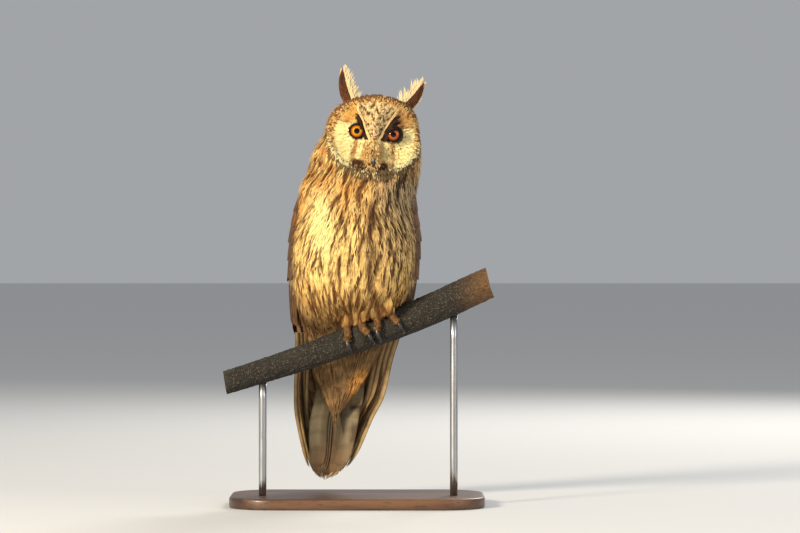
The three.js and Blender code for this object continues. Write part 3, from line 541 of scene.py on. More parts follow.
def face_paint(u, w):
    """The ground colour on the facial disc."""
    points = np.stack([u, 0 * u, w], -1)
    loose = ripple(points, 2.6, 0.7)
    e = np.abs(u) - EYE_APART / 2
    right = smooth(-2, 2, u)
    ground = blend(WHITE, CREAM, 0.5 + 0.3 * loose)
    over = smooth(4, 9, w + 1.2 * loose - 0.12 * e + 2.5 * right * smooth(11, 6, e))
    top = blend(tone(222, 168, 86), CREAM, smooth(9, 19, e + 0.35 * (w - 14)))
    # Painted shade: the top of the disc over the owl's left eye turns a greyer brown.
    shaded_top = blend(tone(196, 142, 86), tone(150, 112, 76), smooth(14, 22, w))
    top = blend(top, shaded_top, 0.75 * right * smooth(17, 9, e))
    ground = blend(ground, top, over)
    line = np.exp(-(((w - 7 - 0.1 * e - 0.8 * loose) / 1.3) ** 2)) * smooth(3, 6, e) * smooth(21, 17, e)
    ground = blend(ground, tone(140, 88, 42), 0.85 * line)
    below = np.exp(-(((e - 0.5 + 0.16 * (w + 13)) / 2.2) ** 2)) * smooth(-6, -9, w) * smooth(-30, -22, w)
    ground = blend(ground, tone(160, 98, 40), 0.85 * below)
    edge = wedge_edge(w)
    inside = smooth(1.2, -0.8, np.abs(u) - edge) * smooth(-15, -8, w)
    speck = mottle(points, 1.5, 3)
    wedge = blend(tone(238, 206, 148), tone(70, 38, 18), 0.95 * speck)
    ground = blend(ground, wedge, inside)
    brow = np.exp(-(((np.abs(u) - edge - 1.3) / 1.3) ** 2)) * smooth(-12, -7, w) * smooth(21, 15, w)
    ground = blend(ground, tone(246, 206, 132), np.clip(1.2 * brow, 0, 0.85))
    # The dark patch and ring round each eye are the owl's own. Round the owl's left eye both are wider, and
    # this extra width is painted shade from the brow.
    lean = e + 6.5 - 0.02 * np.maximum(w + 6, 0) ** 2 * (1 + 0.3 * right)
    half = 2.0 + 1.3 * right + 0.8 * smooth(2, 8, w)
    patch = smooth(half + 0.8, half - 0.6, np.abs(lean)) * smooth(-7, -4.5, w) * smooth(14.5, 11, w)
    rim = smooth(8.4 + 1.2 * right, 7.2 + 1.2 * right, np.hypot(e, w))
    ground = blend(ground, tone(40, 20, 12), np.clip(patch + 0.75 * rim, 0, 1))
    beard = smooth(11, 7, np.abs(u) + 0.2 * (w + 12)) * smooth(-7, -11, w)
    strands = blend(tone(232, 186, 116), tone(136, 84, 38), smooth(-0.1, 0.6, loose))
    ground = blend(ground, strands, 0.9 * beard)
    rim = smooth(0.91, 0.97, disc_radius(u, w) + 0.03 * loose)
    chin = smooth(-14, -22, w)
    dots = mottle(points, 1.8, 9)
    hem = blend(blend(BUFF, UMBER, 0.7 * dots), blend(WHITE, UMBER, 0.5 * dots), chin)
    ground = blend(ground, hem, rim)
    bow = smooth(1, 0.7, np.hypot((np.abs(u) - 10) / 11.5, (w + 31.5 - 0.3 * (np.abs(u) - 10)) / 7.5))
    bow_tone = blend(tone(66, 36, 20), tone(226, 190, 130), 0.6 * mottle(points, 1.7, 7, 0.58, 0.64))
    return blend(ground, bow_tone, bow)


print("belly ground", np.round(plumage(np.array([[-5.0, -58, 220]]))[0], 2))

# %% [markdown]
# A piece is one mesh, filled from arrays. Colours and marks are stored on its corners as
# attributes, and the materials read them. Built from arrays, a coat of a hundred thousand
# faces takes only a second or two.


def make_piece(name, points, faces, material, uv=None, bake=None, values=None):
    """One object in metres from corners in millimetres; it rides on the owl's body."""
    faces = np.asarray(faces)
    sides = faces.shape[1]
    mesh = bpy.data.meshes.new(name)
    mesh.vertices.add(len(points))
    mesh.vertices.foreach_set("co", (np.asarray(points, float) * MM).ravel())
    mesh.loops.add(faces.size)
    mesh.loops.foreach_set("vertex_index", faces.astype(np.int32).ravel())
    mesh.polygons.add(len(faces))
    mesh.polygons.foreach_set("loop_start", np.arange(0, faces.size, sides, dtype=np.int32))
    mesh.update(calc_edges=True)
    mesh.polygons.foreach_set("use_smooth", np.full(len(faces), True))
    corner = faces.ravel()
    for label, coordinates in (("OFBake", bake), ("Vane", uv)):
        if coordinates is not None:
            layer = mesh.uv_layers.new(name=label)
            layer.data.foreach_set("uv", np.asarray(coordinates, float)[corner].ravel())
    for label, data in (values or {}).items():
        data = np.asarray(data, float)
        if data.ndim == 1:
            mesh.attributes.new(label, "FLOAT", "POINT").data.foreach_set("value", data)
        else:
            colour = np.concatenate([data, np.ones((len(data), 1))], 1)
            mesh.attributes.new(label, "FLOAT_COLOR", "POINT").data.foreach_set("color", colour.ravel())
    mesh.materials.append(material)
    piece = bpy.data.objects.new(name, mesh)
    bpy.context.scene.collection.objects.link(piece)
    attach(piece, "root")
    return piece


def by_corner(colours, count):
    """Colours given for each vane, or for each corner of each vane, as one list."""
    return colours.reshape(-1, 3) if colours.ndim == 3 else np.repeat(colours, count, 0)


def join_vanes(batches, paint):
    """Several batches of vanes as one set of arrays, with the colours that paint gives."""
    parts = {key: [] for key in ("points", "faces", "uv", "bake", "tint", "ink", "marks")}
    start = 0
    for batch in batches:
        n, count = batch["points"].shape[:2]
        for key in ("points", "uv", "bake"):
            parts[key].append(batch[key].reshape(n * count, -1))
        offsets = start + count * np.arange(n)[:, None, None]
        parts["faces"].append((batch["faces"][None] + offsets).reshape(-1, 3))
        ground, ink, streak, bars = paint(batch)
        worn = RNG.uniform(0.86, 1.1, n).repeat(count)[:, None]
        parts["tint"].append(np.clip(by_corner(ground, count) * worn, 0, 1))
        parts["ink"].append(by_corner(ink, count))
        marks = np.stack([streak, bars, RNG.uniform(0, 1, n)], -1)
        parts["marks"].append(np.repeat(marks, count, 0))
        start += n * count
    return {key: np.concatenate(value) for key, value in parts.items()}


def coat_piece(name, batches, paint, material):
    made = join_vanes(batches, paint)
    values = {key: made[key] for key in ("tint", "ink", "marks")}
    piece = make_piece(name, made["points"], made["faces"], material, made["uv"], made["bake"], values)
    print(name, len(made["faces"]), "triangles")
    return piece


# %% [markdown]
# One helper makes every node: it takes the kind of node, what goes into each input, and the
# node's own settings. Short helpers on top of it give the few nodes that the materials use
# again and again, so that a material reads like a recipe.

# %% Node helpers


def feed(tree, kind, inputs, **settings):
    """A node with its settings. An input takes a number, a colour or another node's socket."""
    node = tree.nodes.new(kind)
    for name, value in settings.items():
        setattr(node, name, value)
    for key, value in inputs.items():
        if isinstance(value, bpy.types.NodeSocket):
            tree.links.new(value, node.inputs[key])
        elif value is not None:
            node.inputs[key].default_value = value
    return node


def joint(tree, operation, first, second=None, third=None, clamp=False):
    """A Math node fed by numbers or by sockets."""
    inputs = {0: first, 1: second, 2: third}
    return feed(tree, "ShaderNodeMath", inputs, operation=operation, use_clamp=clamp).outputs[0]


def times(tree, first, second):
    return joint(tree, "MULTIPLY", first, second)


def plus(tree, first, second):
    return joint(tree, "ADD", first, second)


def minus(tree, first, second):
    return joint(tree, "SUBTRACT", first, second)


def ramp(tree, value, low, high, to_low=0.0, to_high=1.0):
    """A soft step between two values."""
    inputs = {0: value, 1: low, 2: high, 3: to_low, 4: to_high}
    return feed(tree, "ShaderNodeMapRange", inputs, interpolation_type="SMOOTHSTEP").outputs[0]


def noise(tree, vector, scale, detail=3.0, rough=0.55):
    inputs = {"Vector": vector, "Scale": scale, "Detail": detail, "Roughness": rough}
    return feed(tree, "ShaderNodeTexNoise", inputs).outputs["Fac"]


def mix(tree, share, first, second, how="MIX"):
    """Two colours mixed; a colour may be a socket or three numbers."""
    first, second = (v if isinstance(v, bpy.types.NodeSocket) else (*v, 1) for v in (first, second))
    inputs = {0: share, 6: first, 7: second}
    return feed(tree, "ShaderNodeMix", inputs, data_type="RGBA", blend_type=how).outputs[2]


def pack(tree, x, y, z=0.0):
    return feed(tree, "ShaderNodeCombineXYZ", {0: x, 1: y, 2: z}).outputs[0]


def split(tree, vector):
    return feed(tree, "ShaderNodeSeparateXYZ", {0: vector}).outputs


def read(tree, name, output="Color"):
    """An attribute that the piece's mesh carries."""
    return feed(tree, "ShaderNodeAttribute", {}, attribute_name=name).outputs[output]


def object_coordinates(tree, scale=None, turn=(0, 0, 0)):
    """Places on the object itself, drawn out along a grain where a scale is given."""
    spot = tree.nodes.new("ShaderNodeTexCoord").outputs["Object"]
    if scale is None:
        return spot
    return feed(tree, "ShaderNodeMapping", {0: spot, "Rotation": turn, "Scale": scale}).outputs[0]


# %% [markdown]
# Two shader groups are shared. The first draws what every feather has: a dark streak along the shaft, cross
# bars and the fine lines of the barbs, and a darker root, which is partly the grey down at the feather's base
# and partly painted shade where the feathers overlap. The second is slow drift, so that no two places have
# quite the same colour. Both give out only masks, and the materials use them for colours and bumps.

# %% Shader groups


def new_group(name, inputs, outputs):
    group = bpy.data.node_groups.new(name, "ShaderNodeTree")
    for label, kind, value in inputs:
        socket = group.interface.new_socket(label, in_out="INPUT", socket_type=kind)
        if value is not None:
            socket.default_value = value
    for label in outputs:
        group.interface.new_socket(label, in_out="OUTPUT", socket_type="NodeSocketFloat")
    return group, group.nodes.new("NodeGroupInput").outputs, group.nodes.new("NodeGroupOutput").inputs


def make_vane_marks():
    group, given, out = new_group("vane marks", [
        ("Vane", "NodeSocketVector", None), ("Marks", "NodeSocketVector", None),
        ("Streak width", "NodeSocketFloat", 0.3), ("Bar count", "NodeSocketFloat", 3.0),
        ("Bar share", "NodeSocketFloat", 0.4)], ("Ink", "Barbs", "Depth"))
    sideways, along, _ = split(group, given["Vane"])
    streak, bars, seed = split(group, given["Marks"])
    across = joint(group, "ABSOLUTE", joint(group, "MULTIPLY_ADD", sideways, 2.0, -1.0))
    shift = times(group, seed, 37.0)
    spot = pack(group, times(group, sideways, 3.0), times(group, along, 4.0), shift)
    ragged = joint(group, "MULTIPLY_ADD", noise(group, spot, 1.6, 2.0), 0.5, -0.25)
    drop = times(group, ramp(group, along, 0.3, 0.78, 0.35, 1.0), ramp(group, along, 1.25, 0.98))
    reach = times(group, times(group, given["Streak width"], drop), streak)
    gap = minus(group, plus(group, across, times(group, ragged, 0.5)), reach)
    line = times(group, ramp(group, gap, 0.09, -0.05), ramp(group, streak, 0.02, 0.25))
    bowed = minus(group, along, times(group, across, 0.02))
    turn = plus(group, times(group, bowed, given["Bar count"]), seed)
    wave = joint(group, "FRACT", plus(group, turn, times(group, ragged, 0.35)))
    edge = joint(group, "ABSOLUTE", minus(group, wave, 0.5))
    band = ramp(group, minus(group, edge, times(group, given["Bar share"], 0.5)), 0.06, -0.04)
    slant = times(group, minus(group, along, times(group, across, 0.35)), 46.0)
    made = {
        "Ink": joint(group, "MAXIMUM", line, times(group, band, bars), clamp=True),
        "Barbs": noise(group, pack(group, slant, times(group, across, 2.0), shift), 1.0, 2.0, 0.7),
        # Root shade: darker towards the root, partly the grey down there and partly painted shade where the
        # feathers overlap.
        "Depth": ramp(group, along, 0.05, 0.62, 0.52, 1.0),
    }
    for label, value in made.items():
        group.links.new(value, out[label])
    return group


def make_drift():
    group, given, out = new_group(
        "drift", [("Vector", "NodeSocketVector", None), ("Size", "NodeSocketFloat", 90.0)], ("Drift",))
    group.links.new(noise(group, given["Vector"], given["Size"], 3.0, 0.5), out["Drift"])
    return group


VANE_MARKS, DRIFT = make_vane_marks(), make_drift()
print("shader groups", VANE_MARKS.name, DRIFT.name)

# %% [markdown]
# A material starts from one Principled shader. The helpers below give each one the groups
# it needs and its own numbers. Feathers are rough and scatter light, horn and eyes shine.

# %% Material helpers


def new_material(name, roughness=0.8, **fixed):
    material = bpy.data.materials.new(name)
    material.use_nodes = True
    tree = material.node_tree
    shader = tree.nodes["Principled BSDF"]
    shader.inputs["Roughness"].default_value = roughness
    for label, value in fixed.items():
        shader.inputs[label.replace("_", " ")].default_value = value
    return material, tree, shader


def place(tree, group, **values):
    inputs = {label.replace("_", " "): value for label, value in values.items()}
    return feed(tree, "ShaderNodeGroup", inputs, node_tree=group).outputs


def paint_over(tree, colour, *layers):
    """Colours one over another: a value, the two ends of its step, its strength, a colour."""
    for value, low, high, strength, over in layers:
        colour = mix(tree, ramp(tree, value, low, high, 0.0, strength), colour, over)
    return colour


def finish(tree, shader, colour, height=None, strength=0.4, distance=0.0004, rough=None):
    """Feeds the shader with its colour, and with bumps and roughness where they are given."""
    tree.links.new(colour, shader.inputs["Base Color"])
    if rough is not None:
        tree.links.new(rough, shader.inputs["Roughness"])
    if height is not None:
        inputs = {"Strength": strength, "Distance": distance, "Height": height}
        tree.links.new(feed(tree, "ShaderNodeBump", inputs).outputs["Normal"], shader.inputs["Normal"])


def feather_material(name, streak_width, bar_count, bar_share, roughness=0.85, barb=0.2, depth=1.0):
    """A coat or flight feather: ground colour, ink, barb lines and a darker root, partly grey down and partly
    painted shade.
    """
    material, tree, shader = new_material(name, roughness, Specular_IOR_Level=0.25)
    vane = feed(tree, "ShaderNodeUVMap", {}, uv_map="Vane").outputs[0]
    marks = place(tree, VANE_MARKS, Vane=vane, Marks=read(tree, "marks", "Vector"),
                  Streak_width=streak_width, Bar_count=bar_count, Bar_share=bar_share)
    drift = place(tree, DRIFT, Vector=object_coordinates(tree), Size=60.0)["Drift"]
    drifted = mix(tree, drift, (0.84, 0.8, 0.76), (1.14, 1.14, 1.12))
    ground = mix(tree, 1.0, read(tree, "tint"), drifted, "MULTIPLY")
    inked = mix(tree, times(tree, marks["Ink"], 0.94), ground, read(tree, "ink"))
    lines = ramp(tree, marks["Barbs"], 0.3, 0.7, 1 - barb, 1 + 0.4 * barb)
    shade = times(tree, lines, joint(tree, "POWER", marks["Depth"], depth))
    colour = mix(tree, 1.0, inked, pack(tree, shade, shade, shade), "MULTIPLY")
    finish(tree, shader, colour, marks["Barbs"], 0.35, 0.0003)
    return material


COAT = feather_material("contour feathers", 0.34, 3.0, 0.3)
FACE_COAT = feather_material("facial feathers", 0.12, 5.0, 0.35, barb=0.28, depth=0.7)
print("feather materials ready")

# %% [markdown]
# The skin is one closed sheet under the whole coat. It lies a few millimetres inside the
# solids and carries the same markings, so a gap between two vanes never shows a bare
# ground. Sections of the body are joined into a tube, and points that meet the branch are
# pushed out to rest on it.

# %% Skin
COAT_DEPTH, FACE_DEPTH = 4.6, 2.8


def coat_depth(up, facing=0.0):
    """How far the skin lies inside the coat's outside."""
    return COAT_DEPTH * (1 - 0.3 * smooth(320, 348, up)) * (1 - facing) + FACE_DEPTH * facing


def on_disc(x, y, z):
    return smooth(1.02, 0.9, disc_radius(*face_uw(x, z))) * smooth(-8, -22, y)


def skin_points(columns, rows):
    angles = np.linspace(-math.pi, math.pi, columns, endpoint=False)
    levels = np.concatenate([np.linspace(57, 344, rows - 8), np.linspace(345.5, 350.9, 8)])
    angle, up = np.meshgrid(angles, levels)
    outside = body_place(angle, up)
    _, _, out = BODY_SURFACE.slopes(angle, np.clip(up, 58, 349.5))
    depth = coat_depth(up, on_disc(*xyz(outside))) * smooth(56, 75, up)
    return clear_of_branch(outside - out * depth[..., None], 1.2), angle, up


def tube_faces(columns, rows):
    """Faces of a closed tube of rings, and of its two end points."""
    i = np.arange(columns)
    j = (i + 1) % columns
    faces = []
    for start in range(0, (rows - 1) * columns, columns):
        a, b = start + i, start + j
        faces += [np.stack([a, b, b + columns], -1), np.stack([a, b + columns, a + columns], -1)]
    total, top = rows * columns, (rows - 1) * columns
    faces.append(np.stack([0 * i + total, j, i], -1))
    faces.append(np.stack([0 * i + total + 1, top + i, top + j], -1))
    return np.concatenate(faces)


def skin_values(ground, ink, streak, bars):
    return {"tint": ground, "ink": ink, "marks": np.stack([streak, bars, 0 * bars], -1)}


def make_skin():
    columns, rows = 200, 190
    points, angle, up = skin_points(columns, rows)
    flat = np.concatenate([points.reshape(-1, 3), [points[0].mean(0), points[-1].mean(0)]])
    ground, ink, streak, bars = plumage(flat)
    x, y, z = xyz(flat)
    ground = blend(ground, face_paint(*face_uw(x, z)), on_disc(x, y, z))
    spot = np.concatenate([BODY_SURFACE.unwrap(angle, up).reshape(-1, 2), [[0.5, 0.002], [0.5, 0.998]]])
    # Painted shade: the skin's ground is a quarter darker than the coat's, as shade in the gaps between the
    # vanes.
    values = skin_values(ground * 0.75, ink, streak, bars)
    return make_piece("skin", flat, tube_faces(columns, rows), SKIN, None, spot, values)


def skin_material():
    material, tree, shader = new_material("skin under the coat", 0.9)
    drawn_out = object_coordinates(tree, (1, 1, 0.22))
    streaks = ramp(tree, noise(tree, drawn_out, 190.0, 3.0), 0.5, 0.66)
    share = times(tree, times(tree, streaks, split(tree, read(tree, "marks", "Vector"))[0]), 0.7)
    colour = mix(tree, share, read(tree, "tint"), read(tree, "ink"))
    finish(tree, shader, colour, noise(tree, drawn_out, 700.0), 0.5, 0.0006)
    return material


SKIN = skin_material()
skin = make_skin()
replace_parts(skin, "torso", "neck", "head")
print("skin", len(skin.data.polygons), "triangles")

# %% [markdown]
# Contour feathers cover the body like tiles on a roof. They are set in rows round each
# level, half a step aside from the row below, and each is turned a little by chance. On
# the breast they spread outwards from the middle, and on the belly they close in again
# towards the feet. About half of them have a dark shaft of their own, and the long broken
# lines of the plumage's rule run on from one feather to the next, as on the real owl.

# %% Coat of the body
ROW_LEVELS = [60, 150, 230, 275, 310, 350]


def girth(up):
    angle = np.linspace(-math.pi, math.pi, 60)
    ring = body_place(angle, 0 * angle + up)
    return np.linalg.norm(np.diff(ring, axis=0), axis=1).sum()


def rows_of_roots(low, high, apart, step):
    """Roots round every level, in staggered rows, with small random shifts."""
    angles, ups = [], []
    row, up = 0, low
    while up < high:
        count = max(int(girth(up) / apart(up)), 6)
        angle = (np.arange(count) + 0.5 * (row % 2)) / count * 2 * math.pi - math.pi
        angles.append(angle + RNG.uniform(-0.35, 0.35, count) * 2 * math.pi / count)
        ups.append(up + RNG.uniform(-0.4, 0.4, count) * step(up))
        up += step(up)
        row += 1
    return np.concatenate(angles), np.concatenate(ups)


def apart(up):
    return float(np.interp(up, ROW_LEVELS, [6.6, 6.6, 5.4, 4.1, 2.9, 2.3]))


def step(up):
    return float(np.interp(up, ROW_LEVELS, [9.5, 8.4, 6.2, 4.6, 3.1, 2.4]))


def body_flow(angle, up):
    """Which way the feathers lie: down, and outwards or inwards over the front."""
    x = body_place(angle, up)[..., 0]
    turn = (x - 14) / 50 * fanning(up) * smooth(0.1, -0.5, np.sin(angle)) / 52
    crown = smooth(335, 346, up)
    return np.stack([turn + RNG.normal(0, 0.0022, len(up)), -(1 - 0.2 * crown)], 0)


def keep_off(points):
    """Where the body's own feathers don't grow: on the disc, and round the feet."""
    x, y, z = xyz(points)
    disc = (disc_radius(*face_uw(x, z)) < 1.0) & (y < -15)
    near = np.hypot(y, z - perch_axis(x)[0][:, 2])
    feet = (near < 22) & (x > -10) & (x < 42) & (y > -19)
    return disc | feet


def body_paint(batch):
    shift = RNG.normal(0, 1, (len(batch["points"]), 1, 3)) * (0.4, 0.4, 2.4)
    ground, ink, streak, bars = plumage(batch["points"] + shift)
    streak, bars = streak.mean(1), bars.mean(1)
    bare = RNG.uniform(0, 1, len(streak)) > 0.55
    return ground, ink, np.where(bare, 0, streak), bars * RNG.uniform(0.2, 1, len(bars))


def body_coat():
    angle, up = rows_of_roots(64, 349, apart, step)
    keep = ~keep_off(body_place(angle, up))
    angle, up = angle[keep], up[keep]
    size = np.interp(up, [60, 100, 120, 180, 230, 275, 310, 350], [30, 44, 44, 31, 26, 18, 10, 7])
    size = size * RNG.uniform(0.85, 1.2, len(up))
    half = size * np.interp(up, [60, 120, 230, 310, 350], [0.17, 0.2, 0.23, 0.25, 0.25])
    size = np.minimum(size, (up - 44) * 0.95 + 4)
    deep = coat_depth(up)
    high = np.interp(up, [60, 200, 310, 350], [0.3, 0.2, -0.5, -1.0]) + RNG.uniform(-1.5, 0.7, len(up))
    flow = body_flow(angle, up)
    parts = {"coat_front": np.sin(angle) < -0.1, "coat_back": np.sin(angle) >= -0.1}
    for name, chosen in parts.items():
        laid = angle[chosen], up[chosen], flow[:, chosen], size[chosen], half[chosen]
        height = rising(-deep[chosen] - 0.3, high[chosen])
        batch = lay_vanes(BODY_SURFACE, *laid, height, columns=9, rows=6, fray=0.2, camber=0.13,
                          push=lambda p: clear_of_branch(p, 1.6), part=0.74)
        coat_piece(name, [batch], body_paint, COAT)


def loose_barbs():
    """Single loose barbs over the coat, which make it look soft."""
    angle, up = rows_of_roots(66, 344, lambda u: 0.52 * apart(u), lambda u: 0.62 * step(u))
    keep = ~keep_off(body_place(angle, up))
    angle, up = angle[keep], up[keep]
    flow = body_flow(angle, up)
    flow[0] += RNG.normal(0, 0.0035, len(up))
    size = np.interp(up, [66, 180, 275, 344], [13, 13, 9, 4.5]) * RNG.uniform(0.7, 1.25, len(up))
    batch = lay_vanes(BODY_SURFACE, angle, up, flow, size, np.interp(up, [66, 275, 344], [0.42, 0.36, 0.22]),
                      rising(-1.6, RNG.uniform(-0.3, 1.4, len(up)), 0.8), columns=1, rows=4, outline=NARROW,
                      fray=0.1, push=lambda p: clear_of_branch(p, 2.4))

    def paint(batch):
        ground, ink, streak, bars = plumage(batch["points"])
        return np.clip(ground * 1.08, 0, 1), ink, 0 * streak[:, 0], 0 * bars[:, 0]

    coat_piece("coat_loose_barbs", [batch], paint, COAT)


body_coat()
loose_barbs()

# %% [markdown]
# The facial disc is what makes it an owl. Its feathers are loose and hair-fine, and they
# fan out from each eye, so sound runs back to the ears. Here every vane of the disc points
# away from the nearer eye. Those between the eyes point up to the crown, and below them a
# beard of fine strands falls over the bill.

# %% Facial disc
EYE_HOLE = 6.2


def plain_paint(ground, ink=UMBER, streak=0.0, bars=0.0, spread=0.15):
    """One colour for a whole batch, each vane darkened a little by chance."""
    def paint(batch):
        n = len(batch["middle"])
        tinted = blend(np.tile(ground, (n, 1)), UMBER, RNG.uniform(0, spread, n))
        return tinted, np.tile(ink, (n, 1)), np.full(n, streak), np.full(n, bars)

    return paint


def paint_each(paints):
    """Paints the batches in turn, each with its own rule."""
    turn = iter(paints)
    return lambda batch: next(turn)(batch)


def face_flow(u, w):
    """Away from the nearer eye, up the wedge, and down and outwards over the bill."""
    e = np.abs(u) - EYE_APART / 2
    side = np.where(u < 0, -1.0, 1.0)
    away = np.maximum(np.hypot(e, w), 1)
    du, dw = side * e / away, w / away
    wedge = smooth(6.5, 2.5, np.abs(u) - np.maximum(0.42 * (w + 12), 0)) * smooth(-12, -4, w)
    du = du * (1 - wedge) + 0.12 * side * wedge
    dw = dw * (1 - wedge) + wedge
    beard = smooth(14, 7, np.abs(u)) * smooth(-3, -9, w)
    du = du * (1 - beard) + side * np.clip(np.abs(u) / 16, 0.12, 0.6) * beard
    dw = dw * (1 - beard) - beard
    return np.stack([du, dw], 0)


def spread_on_disc(pitch, reach):
    u, w = np.meshgrid(np.arange(-42, 42, pitch), np.arange(-38, 36, pitch))
    staggered = (u + (np.arange(u.shape[0]) % 2)[:, None] * pitch / 2).ravel()
    u = staggered + RNG.uniform(-0.9, 0.9, u.size) * pitch
    w = w.ravel() + RNG.uniform(-0.9, 0.9, w.size) * pitch
    bill = (np.abs(u) < 3.4) & (w < -11) & (w > -33)
    keep = (disc_radius(u, w) < reach) & (eye_distance(u, w) >= EYE_HOLE) & ~bill
    return u[keep], w[keep]


def face_colours(batch):
    shift = RNG.normal(0, 0.45, (len(batch["points"]), 1, 2))
    u, w = face_uw(batch["points"][..., 0], batch["points"][..., 2])
    ground = face_paint(u + shift[..., 0], w + shift[..., 1])
    none = np.zeros(len(u))
    return ground, np.tile(UMBER, (len(u), 1)), none + 0.08, none


def beard_vanes():
    """Fine pale strands from between the eyes, which hang over the bill and leave its tip free."""
    count = 460
    w = RNG.uniform(-17, -5, count)
    u = RNG.uniform(-1, 1, count) * np.interp(w, [-17, -5], [10.5, 4.0])
    aside = np.abs(u)
    reach = w + np.interp(aside, [0, 2.5, 9], [22, 28.5, 31])
    inwards = 0.55 * (1.0 - u) / np.maximum(w + 33, 8) + RNG.normal(0, 0.05, count)
    high = np.interp(aside, [0, 3, 6, 10], [6.6, 6.0, 3.2, 0.6]) + RNG.uniform(-1.2, 0.6, count)
    length = reach * RNG.uniform(0.8, 1.04, count)
    return lay_vanes(FACE_SURFACE, u, w, (inwards, -np.ones(count)), length, 0.5, rising(-1.2, high, 0.8),
                     columns=2, rows=6, outline=NARROW, fray=0.1)


def facial_disc():
    u, w = spread_on_disc(1.2, 0.96)
    e = eye_distance(u, w)
    length = 7.0 * RNG.uniform(0.75, 1.2, len(u)) * np.interp(e, [6, 14, 30], [0.5, 0.95, 1.1])
    low = -np.interp(e, [6, 11], [0.2, FACE_DEPTH])
    high = RNG.uniform(-1.4, 0.1, len(u)) * np.interp(e, [6, 12], [0.2, 1])
    disc = lay_vanes(FACE_SURFACE, u, w, face_flow(u, w), length, 0.95, rising(low, high), columns=3, rows=5,
                     outline=NARROW, fray=0.2, part=0.7)
    beard = beard_vanes()
    paints = [face_colours, plain_paint(tone(240, 200, 116), UMBER, 0.1, 0.0, 0.85)]
    coat_piece("facial_disc", [disc, beard], paint_each(paints), FACE_COAT)


def brows():
    """The pale brow lines stand up as a ridge, and the dark feathers below hang over the eye."""
    dark, pale = tone(54, 30, 18), tone(248, 214, 150)
    rows = [  # side, count, lowest and highest root, lift, distance from the wedge, length, colour
        (1, 60, (-6, 15), 0.2, 1.0, 5.5, dark), (-1, 60, (-6, 14), 0.2, 1.0, 3.4, dark),
        (1, 70, (-11, 19), 0.4, -1.4, 4.6, pale), (-1, 70, (-11, 19), 0.4, -1.4, 4.6, pale)]
    batches, paints = [], []
    for side, count, between, lift, start, long, colour in rows:
        hangs = start > 0
        w = np.sort(RNG.uniform(*between, count))
        u = side * (wedge_edge(w) + 1.2 + start + RNG.uniform(-0.7, 0.7, count))
        upwards = 0.5 - 0.9 * smooth(8, -2, w) if hangs else 1.0 + 0 * w
        length = long * RNG.uniform(0.8, 1.2, count)
        height = rising(-0.6, lift + RNG.uniform(0.2, 1.3, count))
        flow = side * (0.9 if hangs else 0.55) + 0 * w, upwards
        batches.append(lay_vanes(FACE_SURFACE, u, w, flow, length, 0.7, height, columns=3, rows=4,
                                 outline=NARROW, fray=0.2))
        paints.append(plain_paint(colour, spread=0.12))
    coat_piece("brows", batches, paint_each(paints), FACE_COAT)


facial_disc()
brows()

# %% [markdown]
# The ruff is a hem of short, dense, curved feathers round the disc. Three close rows stand
# up from its rim. The two inner rows are mostly pale, the outer row is dark, and under the
# bill all three turn into a dark bow, with a pale gap in its middle.

# %% Ruff
RUFF_ROWS = [  # share of the disc, count, length, half width, lift, brown share, more at the top, edge
    (0.93, 520, 3.4, 0.45, 0.3, 0.12, 0.35, 0.97), (0.97, 480, 3.8, 0.5, 0.6, 0.25, 0.35, 0.95),
    (1.02, 400, 8.0, 0.8, 0.2, 0.95, 0.0, 0.93)]


def ruff_paint(brown_share, more_at_top):
    def paint(batch):
        n = len(batch["middle"])
        u, w = face_uw(batch["middle"][:, 0], batch["middle"][:, 2])
        low = smooth(2, -18, w)
        pale = blend(blend(RUFOUS, CREAM, 0.6), WHITE, low)
        brown = blend(blend(RUST, UMBER, 0.4), UMBER * 0.7, 0.2 + 0.6 * low)
        share = (RNG.uniform(0, 1, n) < brown_share + more_at_top * (1 - low)).astype(float)
        bow = smooth(24, 19, np.abs(u)) * smooth(-17, -21, w) * smooth(1.0, 2.5, np.abs(u - 1))
        share = np.clip(share + bow * (RNG.uniform(0, 1, n) < 0.85), 0, 1)
        return blend(pale, brown, share * 0.9), np.tile(UMBER, (n, 1)), 0.3 * (1 - share), 0.6 + 0 * share

    return paint


def ruff():
    for row, (share, count, length, half, lift, brown_share, more_at_top, reach) in enumerate(RUFF_ROWS):
        turn = np.linspace(-0.5 * math.pi, 1.5 * math.pi, count, endpoint=False)
        turn = turn + RNG.uniform(-0.02, 0.02, count)
        from_foot = np.abs(np.angle(np.exp(1j * (turn + 0.5 * math.pi))))
        turn = turn[from_foot > 0.05]
        share = share + RNG.uniform(-0.025, 0.025, len(turn))
        u, w = DISC_WIDE * share * np.cos(turn), DISC_HIGH * share * np.sin(turn) - DISC_DROP
        x, z = face_xz(u, w)
        up = z - TIP
        edge = np.abs(x - level(BODY, 1, up)) / level(BODY, 2, np.minimum(up, 346))
        keep = (up < 346) & (edge < reach)
        u, w, turn = u[keep], w[keep], turn[keep] + RNG.normal(0, 0.12, keep.sum())
        flow = (np.cos(turn), np.sin(turn) - 0.25 * np.cos(turn) ** 2)
        length = length * RNG.uniform(0.85, 1.15, len(u))
        height = rising(-2.4, lift + RNG.uniform(-0.5, 0.4, len(u)), 0.5)
        batch = lay_vanes(FACE_SURFACE, u, w, flow, length, half, height, columns=4, rows=4,
                          fray=0.12, camber=0.25)
        coat_piece(f"ruff_{row + 1}", [batch], ruff_paint(brown_share, more_at_top), FACE_COAT)


ruff()
